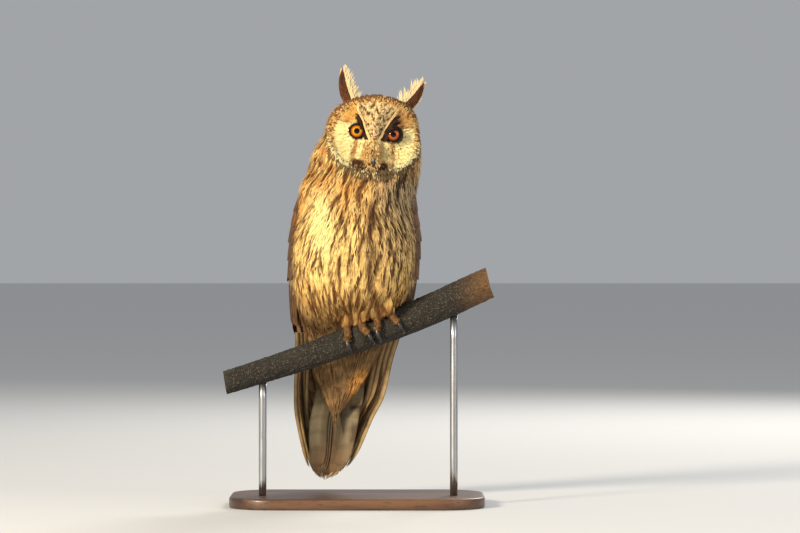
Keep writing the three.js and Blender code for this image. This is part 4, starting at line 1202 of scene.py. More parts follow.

# %% [markdown]
# An eye is one ball. Its front is painted by the distance from the line of sight, with a black pupil, a
# yellow iris with fine rays, and a red-brown outer ring. The owl's left eye gets a darker, more orange copy
# of the iris, as painted shade from the brow. A clear coat on the same shader gives the wet shine, which is
# lighter than a separate cornea of glass and looks the same from a step away.

# %% Eyes


def eye_material(name, inner, middle, outer):
    material, tree, shader = new_material(name, 0.4, Coat_Weight=0.6, Coat_Roughness=0.03,
                                          Specular_IOR_Level=0.0)
    radius, turn, _ = split(tree, read(tree, "iris", "Vector"))
    rays = noise(tree, pack(tree, times(tree, turn, 60.0), times(tree, radius, 3.0)), 1.0, 3.0, 0.7)
    colour = paint_over(tree, mix(tree, ramp(tree, radius, 2.7, 4.2), inner, middle),
                        (radius, 3.9, 5.6, 1.0, outer), (rays, 0.35, 0.7, 0.45, tone(96, 34, 6)),
                        (radius, 5.9, 6.7, 1.0, tone(16, 8, 6)), (radius, 2.75, 2.45, 1.0, tone(4, 3, 3)))
    finish(tree, shader, colour)
    return material


def on_ball(polar, turn):
    """Points on a ball of radius 1. Polar is the angle from the line of sight."""
    return np.stack([np.sin(polar) * np.cos(turn), -np.cos(polar), np.sin(polar) * np.sin(turn)], -1)


def eye_centre(side):
    x, z = face_xz(side * EYE_APART / 2, 0.0)
    return np.array([x, EYE_Y, z])


def make_eye(name, side, material):
    columns, rows = 64, 40
    polar, turn = np.meshgrid(np.linspace(0.02, math.pi - 0.02, rows),
                              np.linspace(0, 2 * math.pi, columns, endpoint=False), indexing="ij")
    ball = on_ball(polar, turn) * EYE_RADIUS
    flat = np.concatenate([ball.reshape(-1, 3), [[0, -EYE_RADIUS, 0], [0, EYE_RADIUS, 0]]])
    off_sight = EYE_RADIUS * np.append(np.sin(np.minimum(polar, 1.57)), [0, 1])
    round_it = np.append(np.abs(turn - math.pi) / math.pi, [0, 0])
    iris = np.stack([off_sight, round_it, 0 * round_it], -1)
    faces = tube_faces(columns, rows)[:, ::-1]
    piece = make_piece(f"eyeball_{name}", flat + eye_centre(side), faces, material, values={"iris": iris})
    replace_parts(piece, f"eye_{name}")


# Painted shade: the owl's left eye has a darker, redder copy of the iris for the brow's shade over it. The
# owl's right eye has the lit yellow one.
SHADED_IRIS = eye_material("orange iris in painted shade", tone(176, 92, 4), tone(152, 64, 2), tone(76, 20, 0))
RIGHT_IRIS = eye_material("yellow iris", tone(206, 150, 0), tone(190, 112, 0), tone(120, 44, 0))
make_eye("left", 1, SHADED_IRIS)
make_eye("right", -1, RIGHT_IRIS)
print("eyes made")

# %% [markdown]
# The lids are a soft ring round each ball. The owl's left upper lid is set lower than the right one, so each
# has its own drop. Most of that extra drop is a dark sheet that stands for the brow's shadow over the eye,
# which is painted shade. The ring starts at the opening, turns over in a dark, moist edge, and runs back
# under the first feathers of the disc.

# %% Lids
LID_OPENING = 6.0
# The owl's left lid drops 4.2 mm, mostly as a dark sheet standing for the brow's shadow: painted shade.
UPPER_LID_DROP_AND_SHADE = {1: 4.2, -1: 0.8}
LID_PROFILE = [  # outwards, thickness, share from the opening to the lid's foot
    (0.05, 0.1, 0.0), (-0.15, 0.3, 0.1), (0.1, 0.45, 0.25), (0.3, 0.5, 0.45), (0.5, 0.45, 0.65),
    (0.8, 0.3, 0.85), (1.3, 0.0, 1.0), (1.9, -0.6, 1.0)]


def lid_material():
    material, tree, shader = new_material("lids", 0.8, Specular_IOR_Level=0.15)
    fine = noise(tree, object_coordinates(tree), 1400.0, 3.0)
    skin_tone = mix(tree, ramp(tree, fine, 0.3, 0.7), tone(22, 12, 8), tone(44, 24, 14))
    edge = ramp(tree, read(tree, "rim", "Fac"), 0.3, 0.75)
    finish(tree, shader, mix(tree, edge, tone(14, 8, 7), skin_tone), fine, 0.5, 0.0002)
    return material


def make_lids(name, side, material):
    columns = 72
    turn = np.linspace(0, 2 * math.pi, columns, endpoint=False)
    upper = np.maximum(np.sin(turn - 0.4 * side), 0) ** 1.5
    lower = np.maximum(-np.sin(turn), 0) ** 2
    opening = LID_OPENING - UPPER_LID_DROP_AND_SHADE[side] * upper - 0.3 * lower
    rings, rim = [], []
    for out, thick, share in LID_PROFILE:
        radius = opening + out + share * (LID_OPENING - opening)
        polar = np.arcsin(np.clip(radius / (EYE_RADIUS + 0.35), 0, 0.995))
        rings.append(eye_centre(side) + (EYE_RADIUS + 0.15 + thick) * on_ball(polar, turn))
        rim.append(np.full(columns, share))
    faces = ring_quads(columns, len(LID_PROFILE))[:, ::-1]
    return make_piece(name, np.concatenate(rings), faces, material, values={"rim": np.concatenate(rim)})


def ring_quads(columns, rows):
    """Faces between rings that are left open at both ends."""
    i = np.arange(columns)
    j = (i + 1) % columns
    starts = range(0, (rows - 1) * columns, columns)
    return np.concatenate([np.stack([s + i, s + j, s + columns + j, s + columns + i], -1) for s in starts])


LID = lid_material()
make_lids("lids_left", 1, LID)
make_lids("lids_right", -1, LID)
print("lids made")

# %% [markdown]
# The bill is short, steep and hooked, and dark as slate. Each half is a tube along a curve,
# with a low ridge along the top of the upper one. Most of it is hidden under the beard and
# the bristles, so only a narrow dark strip shows from the front.

# %% Bill, claws and other tapered tubes


def unit(vectors):
    return vectors / np.linalg.norm(vectors, axis=-1, keepdims=True)


def curve_points(knots, count):
    """A smooth curve through the knots."""
    knots = np.asarray(knots, float)
    far = np.concatenate([[0], np.cumsum(np.linalg.norm(np.diff(knots, axis=0), axis=1))])
    table = np.column_stack([far, knots])
    t = np.linspace(0, far[-1], count)
    return np.stack([level(table, k, t) for k in (1, 2, 3)], -1), t / far[-1]


def taper(knots, count, sides, wide, high, sideways, ridge=0.0):
    """A closed tube along a curve; wide and high are rules of the share along it."""
    middle, t = curve_points(knots, count)
    ahead = unit(np.gradient(middle, axis=0))
    up = unit(np.cross(np.asarray(sideways, float), ahead))
    across = np.cross(ahead, up)
    turn = np.linspace(0, 2 * math.pi, sides, endpoint=False)
    c, s = np.cos(turn), np.sin(turn)
    peak = 1 + ridge * np.maximum(-s, 0) ** 6
    ring = (middle[:, None] + across[:, None] * (np.asarray(wide(t))[:, None] * c)[..., None]
            + up[:, None] * (np.asarray(high(t))[:, None] * s * peak)[..., None])
    flat = np.concatenate([ring.reshape(-1, 3), middle[:1], middle[-1:]])
    return flat, tube_faces(sides, count)[:, ::-1], np.concatenate([np.repeat(t, sides), [0, 1]])


def horn_material(name, root, tip):
    material, tree, shader = new_material(name, 0.4, Coat_Weight=0.1, Coat_Roughness=0.3)
    growth = noise(tree, object_coordinates(tree), 900.0, 3.0)
    colour = mix(tree, ramp(tree, read(tree, "along", "Fac"), 0.1, 0.9), root, tip)
    colour = paint_over(tree, colour, (growth, 0.4, 0.7, 0.35, tone(60, 50, 44)))
    finish(tree, shader, colour, growth, 0.25, 0.0002, ramp(tree, growth, 0.3, 0.7, 0.24, 0.42))
    return material


BILL_HORN = horn_material("bill horn", tone(36, 28, 26), tone(18, 14, 14))
CLAW_HORN = horn_material("claw horn", tone(44, 36, 34), tone(14, 12, 13))
BILL_SIDE = [math.cos(FACE_TILT), 0, -math.sin(FACE_TILT)]


def on_face(u, w, y):
    x, z = face_xz(u, w)
    return [x, y, z]


def half_bill(name, knots, rings, sides, wide, high, ridge=0.0):
    path = [on_face(*knot) for knot in knots]
    points, faces, along = taper(path, rings, sides, wide, high, BILL_SIDE, ridge)
    if name == "bill_upper":
        for side in (1, -1):
            pit = np.array(on_face(side * 3.6, -15.5, -50.2))
            far = np.linalg.norm((points - pit) / [1, 1, 1.5], axis=1)
            sink = 0.22 * np.exp(-((far / 1.3) ** 2))
            points = points - (points - np.array(on_face(0, -15.5, -45))) * sink[:, None]
    piece = make_piece(f"{name}_horn", points, faces, BILL_HORN, values={"along": along})
    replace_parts(piece, name)


def swell(t):
    """Blunt at the root and rounded off at the tip."""
    return np.sqrt(np.maximum(1 - t**2.2, 0)) + 0.03


UPPER_BILL = [(0, -10, -41), (0.4, -14, -47.5), (0.9, -20, -53), (1.3, -26, -56), (1.6, -31.4, -56.8)]
LOWER_BILL = [(0.8, -21.5, -44), (1, -24.5, -51), (1.3, -27.6, -55.6)]
half_bill("bill_upper", UPPER_BILL, 40, 28, lambda t: 3.9 * swell(t), lambda t: 4.1 * swell(t), 0.12)
half_bill("bill_lower", LOWER_BILL, 20, 20, lambda t: 3.4 - 2.6 * t**1.5, lambda t: 2.4 - 1.9 * t)
print("bill made")

# %% [markdown]
# Stiff bristles hang over the bill from between the eyes, like a moustache. They are a good
# case for Geometry Nodes. One tapered bristle is placed on each of a few hundred points,
# turned to a direction that is stored there, scaled by chance, and made real.

# %% Bristles with Geometry Nodes
BRISTLE_SIZES = {"Length": 0.0125, "Thickness": 0.00026, "Bend": 0.0026, "Seed": 4}


def bristle_tree(material):
    """Tapered, bent bristles on the points of a mesh, along its stored direction."""
    tree = bpy.data.node_groups.new("bristles", "GeometryNodeTree")
    tree.interface.new_socket("Geometry", in_out="INPUT", socket_type="NodeSocketGeometry")
    for label, value in BRISTLE_SIZES.items():
        kind = "NodeSocketInt" if label == "Seed" else "NodeSocketFloat"
        tree.interface.new_socket(label, in_out="INPUT", socket_type=kind).default_value = value
    tree.interface.new_socket("Geometry", in_out="OUTPUT", socket_type="NodeSocketGeometry")
    given, out = tree.nodes.new("NodeGroupInput").outputs, tree.nodes.new("NodeGroupOutput").inputs

    def node(kind, inputs, output=0, **settings):
        return feed(tree, kind, inputs, **settings).outputs[output]

    middle = pack(tree, given["Bend"], 0.0, times(tree, given["Length"], 0.55))
    end = pack(tree, 0.0, 0.0, given["Length"])
    bend = {"Resolution": 6, "Start": (0, 0, 0), "Middle": middle, "End": end}
    line = node("GeometryNodeCurveQuadraticBezier", bend)
    circle = node("GeometryNodeCurvePrimitiveCircle", {"Resolution": 4, "Radius": given["Thickness"]})
    thin = node("ShaderNodeMapRange", {0: node("GeometryNodeSplineParameter", {}, "Factor"), 3: 1.0, 4: 0.12})
    tapered = node("GeometryNodeSetCurveRadius", {0: line, "Radius": thin})
    bristle = node("GeometryNodeCurveToMesh", {0: tapered, 1: circle})
    lie, out_of_face = (node("GeometryNodeInputNamedAttribute", {"Name": name}, data_type="FLOAT_VECTOR")
                        for name in ("lie", "out"))
    turn = node("FunctionNodeAlignRotationToVector", {"Vector": lie}, axis="Z")
    turn = node("FunctionNodeAlignRotationToVector", {"Rotation": turn, "Vector": out_of_face},
                axis="X", pivot_axis="Z")
    size = node("FunctionNodeRandomValue", {2: 0.7, 3: 1.2, "Seed": given["Seed"]}, 1)
    put = {"Points": given["Geometry"], "Instance": bristle, "Rotation": turn, "Scale": size}
    real = node("GeometryNodeRealizeInstances", {0: node("GeometryNodeInstanceOnPoints", put)})
    tree.links.new(node("GeometryNodeSetMaterial", {0: real, "Material": material}), out[0])
    return tree


def apply_nodes(piece, tree, sizes):
    """Runs a tree on an object once and keeps the result as a plain mesh."""
    modifier = piece.modifiers.new("made by nodes", "NODES")
    modifier.node_group = tree
    for item in tree.interface.items_tree:
        if item.item_type == "SOCKET" and item.in_out == "INPUT" and item.name in sizes:
            modifier[item.identifier] = sizes[item.name]
    bpy.context.view_layer.update()
    made = bpy.data.meshes.new_from_object(piece.evaluated_get(bpy.context.evaluated_depsgraph_get()))
    piece.modifiers.remove(modifier)
    made.name = piece.name
    piece.data = made


def points_object(name, points, vectors):
    mesh = bpy.data.meshes.new(name)
    mesh.vertices.add(len(points))
    mesh.vertices.foreach_set("co", (points * MM).ravel())
    for label, data in vectors.items():
        mesh.attributes.new(label, "FLOAT_VECTOR", "POINT").data.foreach_set("vector", data.ravel())
    piece = bpy.data.objects.new(name, mesh)
    bpy.context.scene.collection.objects.link(piece)
    return piece


def bristle_material():
    material, tree, shader = new_material("bristles", 0.7)
    fine = noise(tree, object_coordinates(tree), 330.0, 2.0)
    colour = mix(tree, ramp(tree, fine, 0.36, 0.52), tone(140, 86, 40), tone(250, 212, 148))
    finish(tree, shader, colour, rough=ramp(tree, fine, 0.3, 0.7, 0.6, 0.8))
    return material


def facial_bristles():
    count = 420
    side = np.where(np.arange(count) % 2, 1.0, -1.0)
    w = -4 - 17 * RNG.uniform(0, 1, count) ** 1.2
    u = side * RNG.uniform(0.1, 1, count) * np.interp(w, [-21, -12, -4], [8.0, 8.5, 5.0])
    pa, pb, out = FACE_SURFACE.slopes(u, w)
    inwards = np.clip((1.2 - u) / np.maximum(w + 34, 6), -0.9, 0.9)
    fall = unit(-pb + pa * (0.75 * inwards + RNG.normal(0, 0.1, count))[:, None])
    fall = fall + out * (0.3 + 0.3 * smooth(5, 1, np.abs(u)))[:, None]
    piece = points_object("facial_bristles", FACE_SURFACE.place(u, w) - out * 0.8, {"lie": fall, "out": -out})
    apply_nodes(piece, bristle_tree(bristle_material()), BRISTLE_SIZES)
    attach(piece, "root")
    return piece


bristles = facial_bristles()
print("bristles", len(bristles.data.polygons), "faces")

# %% [markdown]
# The ear tufts are long feathers, not ears. Each tuft has a dark brown leaf as its core
# with a few pointed vanes over it, combs of pale barbs along its inner edge, and a buff hem
# outside. They lie on a sheet that leans back and bows outwards a little.

# %% Ear tufts
TUFTS = {  # root, tip, side of the head
    "left": ((40, -23, 359), (61.6, -16, 387), 1),
    "right": ((-1.5, -23, 362), (-9.5, -16, 399), -1),
}
POINTED = ([0, 0.15, 0.5, 0.8, 0.93, 1], [0.5, 0.85, 1, 0.72, 0.4, 0.15])
LEAF = ([0, 0.12, 0.4, 0.7, 0.88, 0.96, 1], [0.5, 0.85, 1, 0.72, 0.4, 0.2, 0.06])
TUFT_BOW, TUFT_LEAN = 3.4, 2.4


def tuft_surface(root, tip, side):
    root, tip = np.array(root, float), np.array(tip, float)
    length = np.linalg.norm(tip - root)
    along = (tip - root) / length
    out = unit(np.array([0, -1.0, 0]) + along * along[1])
    across = np.cross(along, out)
    across = -across if across[0] * side > 0 else across

    def place_of(a, b):
        lean = -TUFT_LEAN * (np.clip(b, 0, None) / length) ** 2 - 0.018 * a**2
        a = a - TUFT_BOW * (1 - (2 * np.clip(b / length, 0, 1) - 1) ** 2)
        return root + across * a[..., None] + along * b[..., None] + out * lean[..., None]

    surface = Surface(place_of, (0.5, 0.5), 1, [-16, -8], [16, length + 4])
    surface.outward = -float(np.sign(surface.slopes(np.zeros(1), np.zeros(1))[2][0, 1]))
    return surface, length


def fan(surface, count, low, high, reach, half, lift, turns, root_low=-3.0, outline=POINTED):
    """A few pointed vanes side by side, spread like fingers."""
    share = (np.arange(count) + 0.5) / count
    a = low + (high - low) * share + RNG.uniform(-0.25, 0.25, count)
    b = root_low + RNG.uniform(-1, 1, count)
    turn = turns[0] + (turns[1] - turns[0]) * share + RNG.uniform(-0.03, 0.03, count)
    long = np.interp(share, [0, 0.5, 1], reach) * RNG.uniform(0.96, 1.04, count)
    return lay_vanes(surface, a, b, (np.sin(turn), np.cos(turn)), long, half, rising(lift - 0.6, lift, 1.0),
                     columns=7, rows=9, outline=outline, fray=0.06, camber=0.15)


def comb(surface, count, low, high, at, turns, long, lift):
    """Single barbs along an edge, each turned away from the shaft."""
    b = np.linspace(low, high, count) + RNG.uniform(-0.3, 0.3, count)
    turn = np.interp(b, [low, high], turns) + RNG.uniform(-0.07, 0.07, count)
    size = np.interp(b, [low, (low + high) / 2, high], long) * RNG.uniform(0.68, 1.12, count)
    height = rising(lift, lift + RNG.uniform(0, 0.9, count), 1.0)
    flow = np.sin(turn), np.cos(turn)
    return lay_vanes(surface, np.interp(b, [low, high], at), b, flow, size, 0.7, height, columns=2,
                     rows=5, outline=POINTED, fray=0.1)


def ear_tuft(name, root, tip, side):
    surface, length = tuft_surface(root, tip, side)
    one = np.zeros(1)
    fringe = 9.0 if side > 0 else 6.0
    leaf = lay_vanes(surface, one - 1.7, one - 3, (one, one + 1), length + 3.5, 4.3, rising(0.2, 0.6, 1.0),
                     columns=16, rows=18, outline=LEAF, fray=0.05, camber=0.2, part=0.95)
    batches = [
        comb(surface, 60, -1, length - 3, (0.4, -1.2), (0.8, 0.3), (17.0, 18.5, 9.0), -1.6),
        comb(surface, 52, 0, length - 4, (1.0, -0.8), (0.55, 0.2), (12.0, 12.5, 7.0), -0.8),
        comb(surface, 50, -2, length - 3, (-3.2, -2.2), (-0.62, -0.2), (fringe, fringe, 5.0), -0.9),
        leaf,
        fan(surface, 5, -3.2, 0.2, [length * 0.6, length * 0.8, length * 0.6], 1.3, 1.0, (-0.1, 0.04)),
        fan(surface, 13, -7.0, 7.5, [8, 11, 8], 1.7, 1.2, (-0.35, 0.35), root_low=-5.5, outline=CONTOUR),
    ]
    pale = tone(238, 216, 166)
    paints = [
        plain_paint(pale, spread=0.05),
        plain_paint(pale, spread=0.15),
        plain_paint(tone(244, 206, 136), spread=0.15),
        plain_paint(tone(84, 46, 22), SOOT, 0.5, 0.5, 0.3),
        plain_paint(tone(112, 64, 30), SOOT, 0.6, 0.5, 0.7),
        plain_paint(tone(160, 100, 48), UMBER, 0.6, 0.6, 0.6),
    ]
    piece = coat_piece(f"tuft_{name}", batches, paint_each(paints), TUFT_COAT)
    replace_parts(piece, f"ear_tuft_{name}")


TUFT_COAT = feather_material("tuft feathers", 0.3, 3.0, 0.3, barb=0.3, depth=0.35)
for tuft, (tuft_root, tuft_tip, tuft_side) in TUFTS.items():
    ear_tuft(tuft, tuft_root, tuft_tip, tuft_side)

# %% [markdown]
# A folded wing is built as the real one is, in tiers. The primaries are the long outer
# feathers that reach down beside the tail. The secondaries lie over them, then the coverts
# in rows like tiles, and more rows hang along the inner edge. Each feather runs between two
# places, given as millimetres behind the leading edge and height, so a tier is one line of
# a table.

# %% Flight feathers
LAYER = 1.3  # one feather of a stack over the next
ROUNDED = ([0, 0.15, 0.5, 0.8, 0.9, 0.96, 1], [0.35, 0.75, 1, 0.97, 0.88, 0.74, 0.46])


def reach_down(z):
    """The tips lie behind the feet; drawn out a little, they end where the camera sees them."""
    return z - 5.0 * smooth(TIP + 45, TIP, z)


def rounded_runs(x0, t0, columns, part, bow, end_bow, torn):
    """How far along its feather each corner is: even rows, a round end and a torn tip."""
    rows = (len(x0) - columns) // (columns + 1)
    even = np.repeat(np.linspace(0, part, rows), columns + 1) - bow * t0[:-columns] * x0[:-columns] ** 2
    end = 1.0 - end_bow * x0[-columns:] ** 2 + torn
    return np.concatenate([np.tile(even, (len(end), 1)), end], 1)


def flight_vanes(side, root, tip, half, depth, columns=8, rows=16, fray=0.02, camber=0.06):
    """Vanes from root to tip, both given as (mm behind the leading edge, height)."""
    root, tip = np.asarray(root, float), np.asarray(tip, float)
    run = tip - root
    length = np.linalg.norm(run, axis=1)
    ahead = run / length[:, None]
    surface = WING_SURFACE[side]
    n = len(root)
    x0, t0, faces = vane_grid(columns, rows)
    x = np.tile(x0, (n, 1))
    t = rounded_runs(x0, t0, columns, 0.95, 0.03, 0.035, RNG.uniform(-1, 0, (n, columns)) * fray)
    half = np.broadcast_to(np.asarray(half, float), (n,))[:, None]
    xa = x * np.interp(t, *ROUNDED)
    behind = root[:, :1] + run[:, :1] * t - xa * half * ahead[:, 1:]
    up = root[:, 1:] + run[:, 1:] * t + xa * half * ahead[:, :1]
    behind = np.clip(behind, -0.5, np.maximum(wing_width(np.maximum(up, 0)), 1) + 1.5)
    lift = -depth(up, t) + 0.35 * np.exp(-((xa / 0.1) ** 2)) - camber * half * xa**2
    _, _, normal = surface.slopes(behind, np.maximum(up, 1.2))
    points = surface.place(behind, up) + normal * lift[..., None]
    points[..., 2] = reach_down(np.maximum(points[..., 2], TIP - 0.6))
    return vane_batch(surface, root[:, 0], root[:, 1], points, x, t, faces[:, ::side], len(x0) // 2,
                      length[:, None] / 100, web=x * side, share=t)


def flight_paint(ground, other, bars, streak=0.5):
    """The outer web is pale, the inner web is darker, and a dark line runs along the hem."""
    def paint(batch):
        n = len(batch["middle"])
        share = np.clip(0.4 + RNG.uniform(-0.12, 0.12, n), 0, 1)
        plain = blend(np.tile(ground, (n, 1)), other, share)[:, None, :] + 0 * batch["points"]
        hem = smooth(0.66, 0.92, np.abs(batch["web"])) * smooth(1.02, 0.9, batch["share"])
        plain = blend(plain, other * 0.4, 0.8 * smooth(-0.1, 0.6, batch["web"]))
        plain = blend(plain, UMBER * 0.6, 0.9 * hem)
        return plain, np.tile(tone(64, 40, 26), (n, 1)), np.full(n, streak), bars * RNG.uniform(0.8, 1, n)

    return paint


PRIMARIES = np.array([  # root behind the edge, tip behind the edge, height of the tip
    [9, 7, 26], [11, 6.4, 12], [13.4, 6, 2], [17, 3, 0], [20.5, 6.6, 0.5], [25, 12, 4], [30, 18.5, 12],
    [35.5, 26, 31], [41, 34, 44], [47, 42, 60]], float)


def primaries(side):
    count = len(PRIMARIES)

    def depth(up, t):
        rank = np.arange(count)[:, None] * 0.667
        innermost = np.minimum(2 + 4 * (np.maximum(up, 0) / 62) ** 0.8, 6)
        return 0.7 + LAYER * np.maximum(innermost - rank, 0) + 3.6 * smooth(92, 136, up)

    root = np.stack([PRIMARIES[:, 0], np.full(count, 168.0)], -1)
    return flight_vanes(side, root, PRIMARIES[:, 1:], np.r_[6.0, np.full(count - 1, 7.8)], depth, 10, 24)


def tier(side, count, half, root, root_end, tip, tip_end, deep_root, deep_tip, rows, columns, fray):
    """A row of feathers whose roots and tips are spread between two places each."""
    share = np.linspace(0, 1, count)[:, None]
    roots, tips = (np.array(first) * (1 - share) + np.array(last) * share + RNG.normal(0, 0.8, (count, 2))
                   for first, last in ((root, root_end), (tip, tip_end)))
    tuck = 0.07 * half  # each feather's inner side goes under the next one

    def depth(up, t):
        own = RNG.uniform(-0.1, 0.1, (count, 1))
        return deep_root + (deep_tip + 1.0 - deep_root) * np.clip(t, 0, 1) ** 0.8 + own

    made = flight_vanes(side, roots, tips, half, depth, columns, rows, fray, 0.1)
    x0, _, _ = vane_grid(columns, rows)
    _, _, normal = WING_SURFACE[side].slopes(roots[:, 0], roots[:, 1])
    made["points"] = made["points"] - normal[:, None, :] * (tuck * x0)[None, :, None]
    return made


def leading_webs(side):
    """Narrow outer webs of the longest primaries, as pale stripes along the wing's front edge."""
    pitch, rows, columns = (4.4 if side > 0 else 3.3), 34, 5
    batches = []
    for k, tip in enumerate((12, 3, 1, 3)):
        x0, _, faces = vane_grid(columns, rows)
        t = np.concatenate([np.repeat(np.linspace(0, 0.98, rows), columns + 1), np.ones(columns)])
        up = 134 + (tip - 134) * t
        room = level(WING, 2, up)
        middle = np.maximum(room + 1.3 - pitch * (k + 0.5), 0.4 * room - 1.5)
        aside = middle + x0 * pitch * 0.62 * np.interp(t, [0, 0.9, 1], [1, 0.9, 0.3])
        y = np.minimum(level(WING, 3, up) + 5 + 2.0 * k, tail_depth(up) - 6.5 + 0.9 * k)
        y = y - 0.4 * (1 - x0**2) - 0.5 * x0
        points = np.stack([level(WING, 1, up) + side * aside, y, reach_down(TIP + up)], -1)[None]
        root = np.array([9.0 + 4 * k]), np.array([168.0])
        batches.append(vane_batch(WING_SURFACE[side], *root, points, x0[None], t[None], faces[:, ::side],
                                  90, 1.3, web=-x0[None] * 0.9, share=t[None]))
    return batches


def wide(up):
    return float(wing_width(np.array(float(up))))


BROWN, SANDY = tone(82, 58, 38), tone(140, 100, 60)
DRAB, PALE = tone(100, 78, 56), tone(226, 190, 138)
TIERS = [  # count, half width, roots and tips (first, last), two depths, rows, columns, fray, paint
    (10, 8.2, (20, 200), (66, 198), (20, 136), (62, 112), 5.4, 2.2, 14, 8, 0.03, (SANDY, BROWN, 0.9, 0.5)),
    (4, 8.5, (wide(192) - 24, 192), (wide(192) - 8, 192), (wide(134) - 20, 136), (wide(114) - 8, 116),
     3.4, 0.4, 12, 8, 0.04, (DRAB, BROWN, 0.8, 0.5)),
    (5, 4.6, (5, 206), (22, 206), (2.6, 137), (18, 142), 5.0, 0.9, 16, 7, 0.04, (SANDY, BROWN, 0.7, 0.6)),
    (3, 5.2, (5, 212), (13, 214), (4.5, 166), (13, 176), 3.6, 1.4, 10, 6, 0.04, (PALE, BROWN, 0.8, 0.5)),
    (10, 7.6, (10, 222), (72, 222), (12, 180), (76, 184), 3.8, 1.3, 9, 7, 0.04, (SANDY, DRAB, 0.5, 0.8)),
    (10, 6.8, (9, 236), (62, 238), (10, 198), (70, 204), 3.4, 0.9, 8, 7, 0.04, (BROWN, SANDY, 0.4, 0.9)),
    (9, 6.2, (8, 247), (52, 248), (9, 214), (62, 220), 3.0, 0.6, 8, 6, 0.04, (DRAB, SANDY, 0.4, 0.9)),
    (9, 5.4, (7, 256), (42, 258), (7, 230), (54, 234), 2.8, 0.4, 7, 6, 0.04, (BROWN, RUFOUS, 0.35, 0.9)),
    (8, 4.8, (7, 263), (34, 264), (6, 243), (44, 246), 2.6, 0.2, 7, 6, 0.04, (BROWN, SANDY, 0.3, 0.9)),
]
for k, up in enumerate((236, 222, 208, 194, 180, 166, 152)):  # the rows along the inner edge
    top, low = wide(up + 30), wide(up)
    ground = tone(124, 84, 50) if k % 2 else tone(84, 60, 40)
    TIERS.append((3, 7.4, (top - 24, up + 32), (top - 4, up + 30), (low - 22, up - 2), (low - 3, up - 6),
                  2.8, -0.6 - 0.1 * k, 9, 7, 0.04, (ground, tone(176, 134, 84), 0.7, 0.95)))


def wing(side, name):
    batches = [primaries(side)] + [tier(side, *row[:-1]) for row in TIERS] + leading_webs(side)
    paints = [flight_paint(tone(190, 160, 116), tone(140, 110, 76), 0.55, 0.1)]
    paints += [flight_paint(*row[-1]) for row in TIERS]
    paints += [flight_paint(tone(188, 160, 112), tone(140, 112, 76), 0.2, 0.05)] * 4
    piece = coat_piece(f"wing_feathers_{name}", batches, paint_each(paints), FLIGHT_COAT)
    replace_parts(piece, f"wing_{name}")


FLIGHT_COAT = feather_material("flight feathers", 0.3, 7.0, 0.3, 0.7, barb=0.16, depth=0.25)
wing(1, "left")
wing(-1, "right")

# %% [markdown]
# Under the feathers each wing needs a solid core, or light would pass between the tiers.
# It is a thin shell with the wing's own curve, set a few millimetres deep, coloured like the bases of the
# feathers and darkened further as painted shade under the tiers.

# %% Wing cores


def wing_core(side, name):
    columns, levels = 24, 40
    up, share = np.meshgrid(np.linspace(122, 260, levels), np.linspace(0.04, 0.96, columns), indexing="ij")
    behind = share * wing_width(up)
    surface = WING_SURFACE[side]
    _, _, normal = surface.slopes(behind, up)
    outside = surface.place(behind, up)
    deep = (6.6 - 2.6 * smooth(188, 248, up))[..., None]
    ring = np.concatenate([outside - normal * deep, (outside - normal * (deep + 2.2))[:, ::-1]], 1)
    flat = np.concatenate([ring.reshape(-1, 3), ring[:1].mean(1), ring[-1:].mean(1)])
    ground, ink, streak, bars = plumage(flat)
    # Painted shade: the feather-base colour is darkened to six tenths, as shade under the tiers.
    values = skin_values(blend(ground, tone(150, 112, 72), 0.6) * 0.6, ink, streak, bars)
    make_piece(f"wing_core_{name}", flat, tube_faces(2 * columns, levels)[:, ::side], SKIN, values=values)


wing_core(1, "left")
wing_core(-1, "right")
print("wing cores made")

# %% [markdown]
# The tail has twelve feathers in a close stack, with the middle pair on top. Seen from the
# front it shows its pale underside, with faint bars, between the two wings.

# %% Tail


def tail_paint(batch):
    """Grey buff with faint bars, brown towards the tips, and two dark fields on the owl's left."""
    ground, ink, streak, bars = flight_paint(tone(150, 136, 106), tone(118, 104, 80), 0.25, 0.05)(batch)
    x, _, z = xyz(batch["points"])
    rough = mottle(batch["points"], 5.0, 11, 0.35, 0.65)
    ground = blend(ground, tone(118, 92, 64), 0.75 * smooth(64, 44, z + 5 * rough))
    upper = smooth(1.2, 0.8, np.hypot((x - 4) / 10, (z - 88) / 5.5) + 0.3 * rough)
    lower = smooth(1.2, 0.7, np.hypot((x - 2) / 9, (z - 62) / 16) + 0.3 * rough)
    return blend(ground, tone(54, 32, 18), np.maximum(upper, 0.7 * lower)), ink, streak, bars


def tail_feather(side, k):
    """One feather, the k-th from the middle. The owl's left middle one lies on top of all."""
    rank = k + 1 if (side < 0 or k > 0) else 0
    x0, t0, faces = vane_grid(10, 22)
    t = rounded_runs(x0, t0, 10, 0.96, 0.02, 0.03, RNG.uniform(-0.012, 0, (1, 10)))
    x = x0[None]
    up = 142 + (1.5 + 0.35 * k * k - 142) * t
    spread = 3 + 10.5 * smooth(0, 0.5, t) - 3.5 * smooth(0.7, 1, t)
    aside = side * (k / 5 * spread + 2.5) + 9.5 * x * np.interp(t, *ROUNDED)
    lift = -LAYER * rank + 0.3 * np.exp(-((x / 0.09) ** 2)) - 0.5 * x**2
    _, _, normal = TAIL_SURFACE.slopes(aside, np.maximum(up, 8))
    points = TAIL_SURFACE.place(aside, up) + normal * lift[..., None]
    points[..., 2] = reach_down(points[..., 2])
    root = np.array([side * (4 + 4.5 * k)]), np.array([130.0 - k])
    return vane_batch(TAIL_SURFACE, *root, points, x, t, faces[:, ::-1], 100, 1.36,
                      web=side * x * -0.8, share=t)


tail_vanes = [tail_feather(side, k) for side in (1, -1) for k in range(6)]
tail = coat_piece("tail_feathers", tail_vanes, tail_paint, FLIGHT_COAT)
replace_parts(tail, "tail")

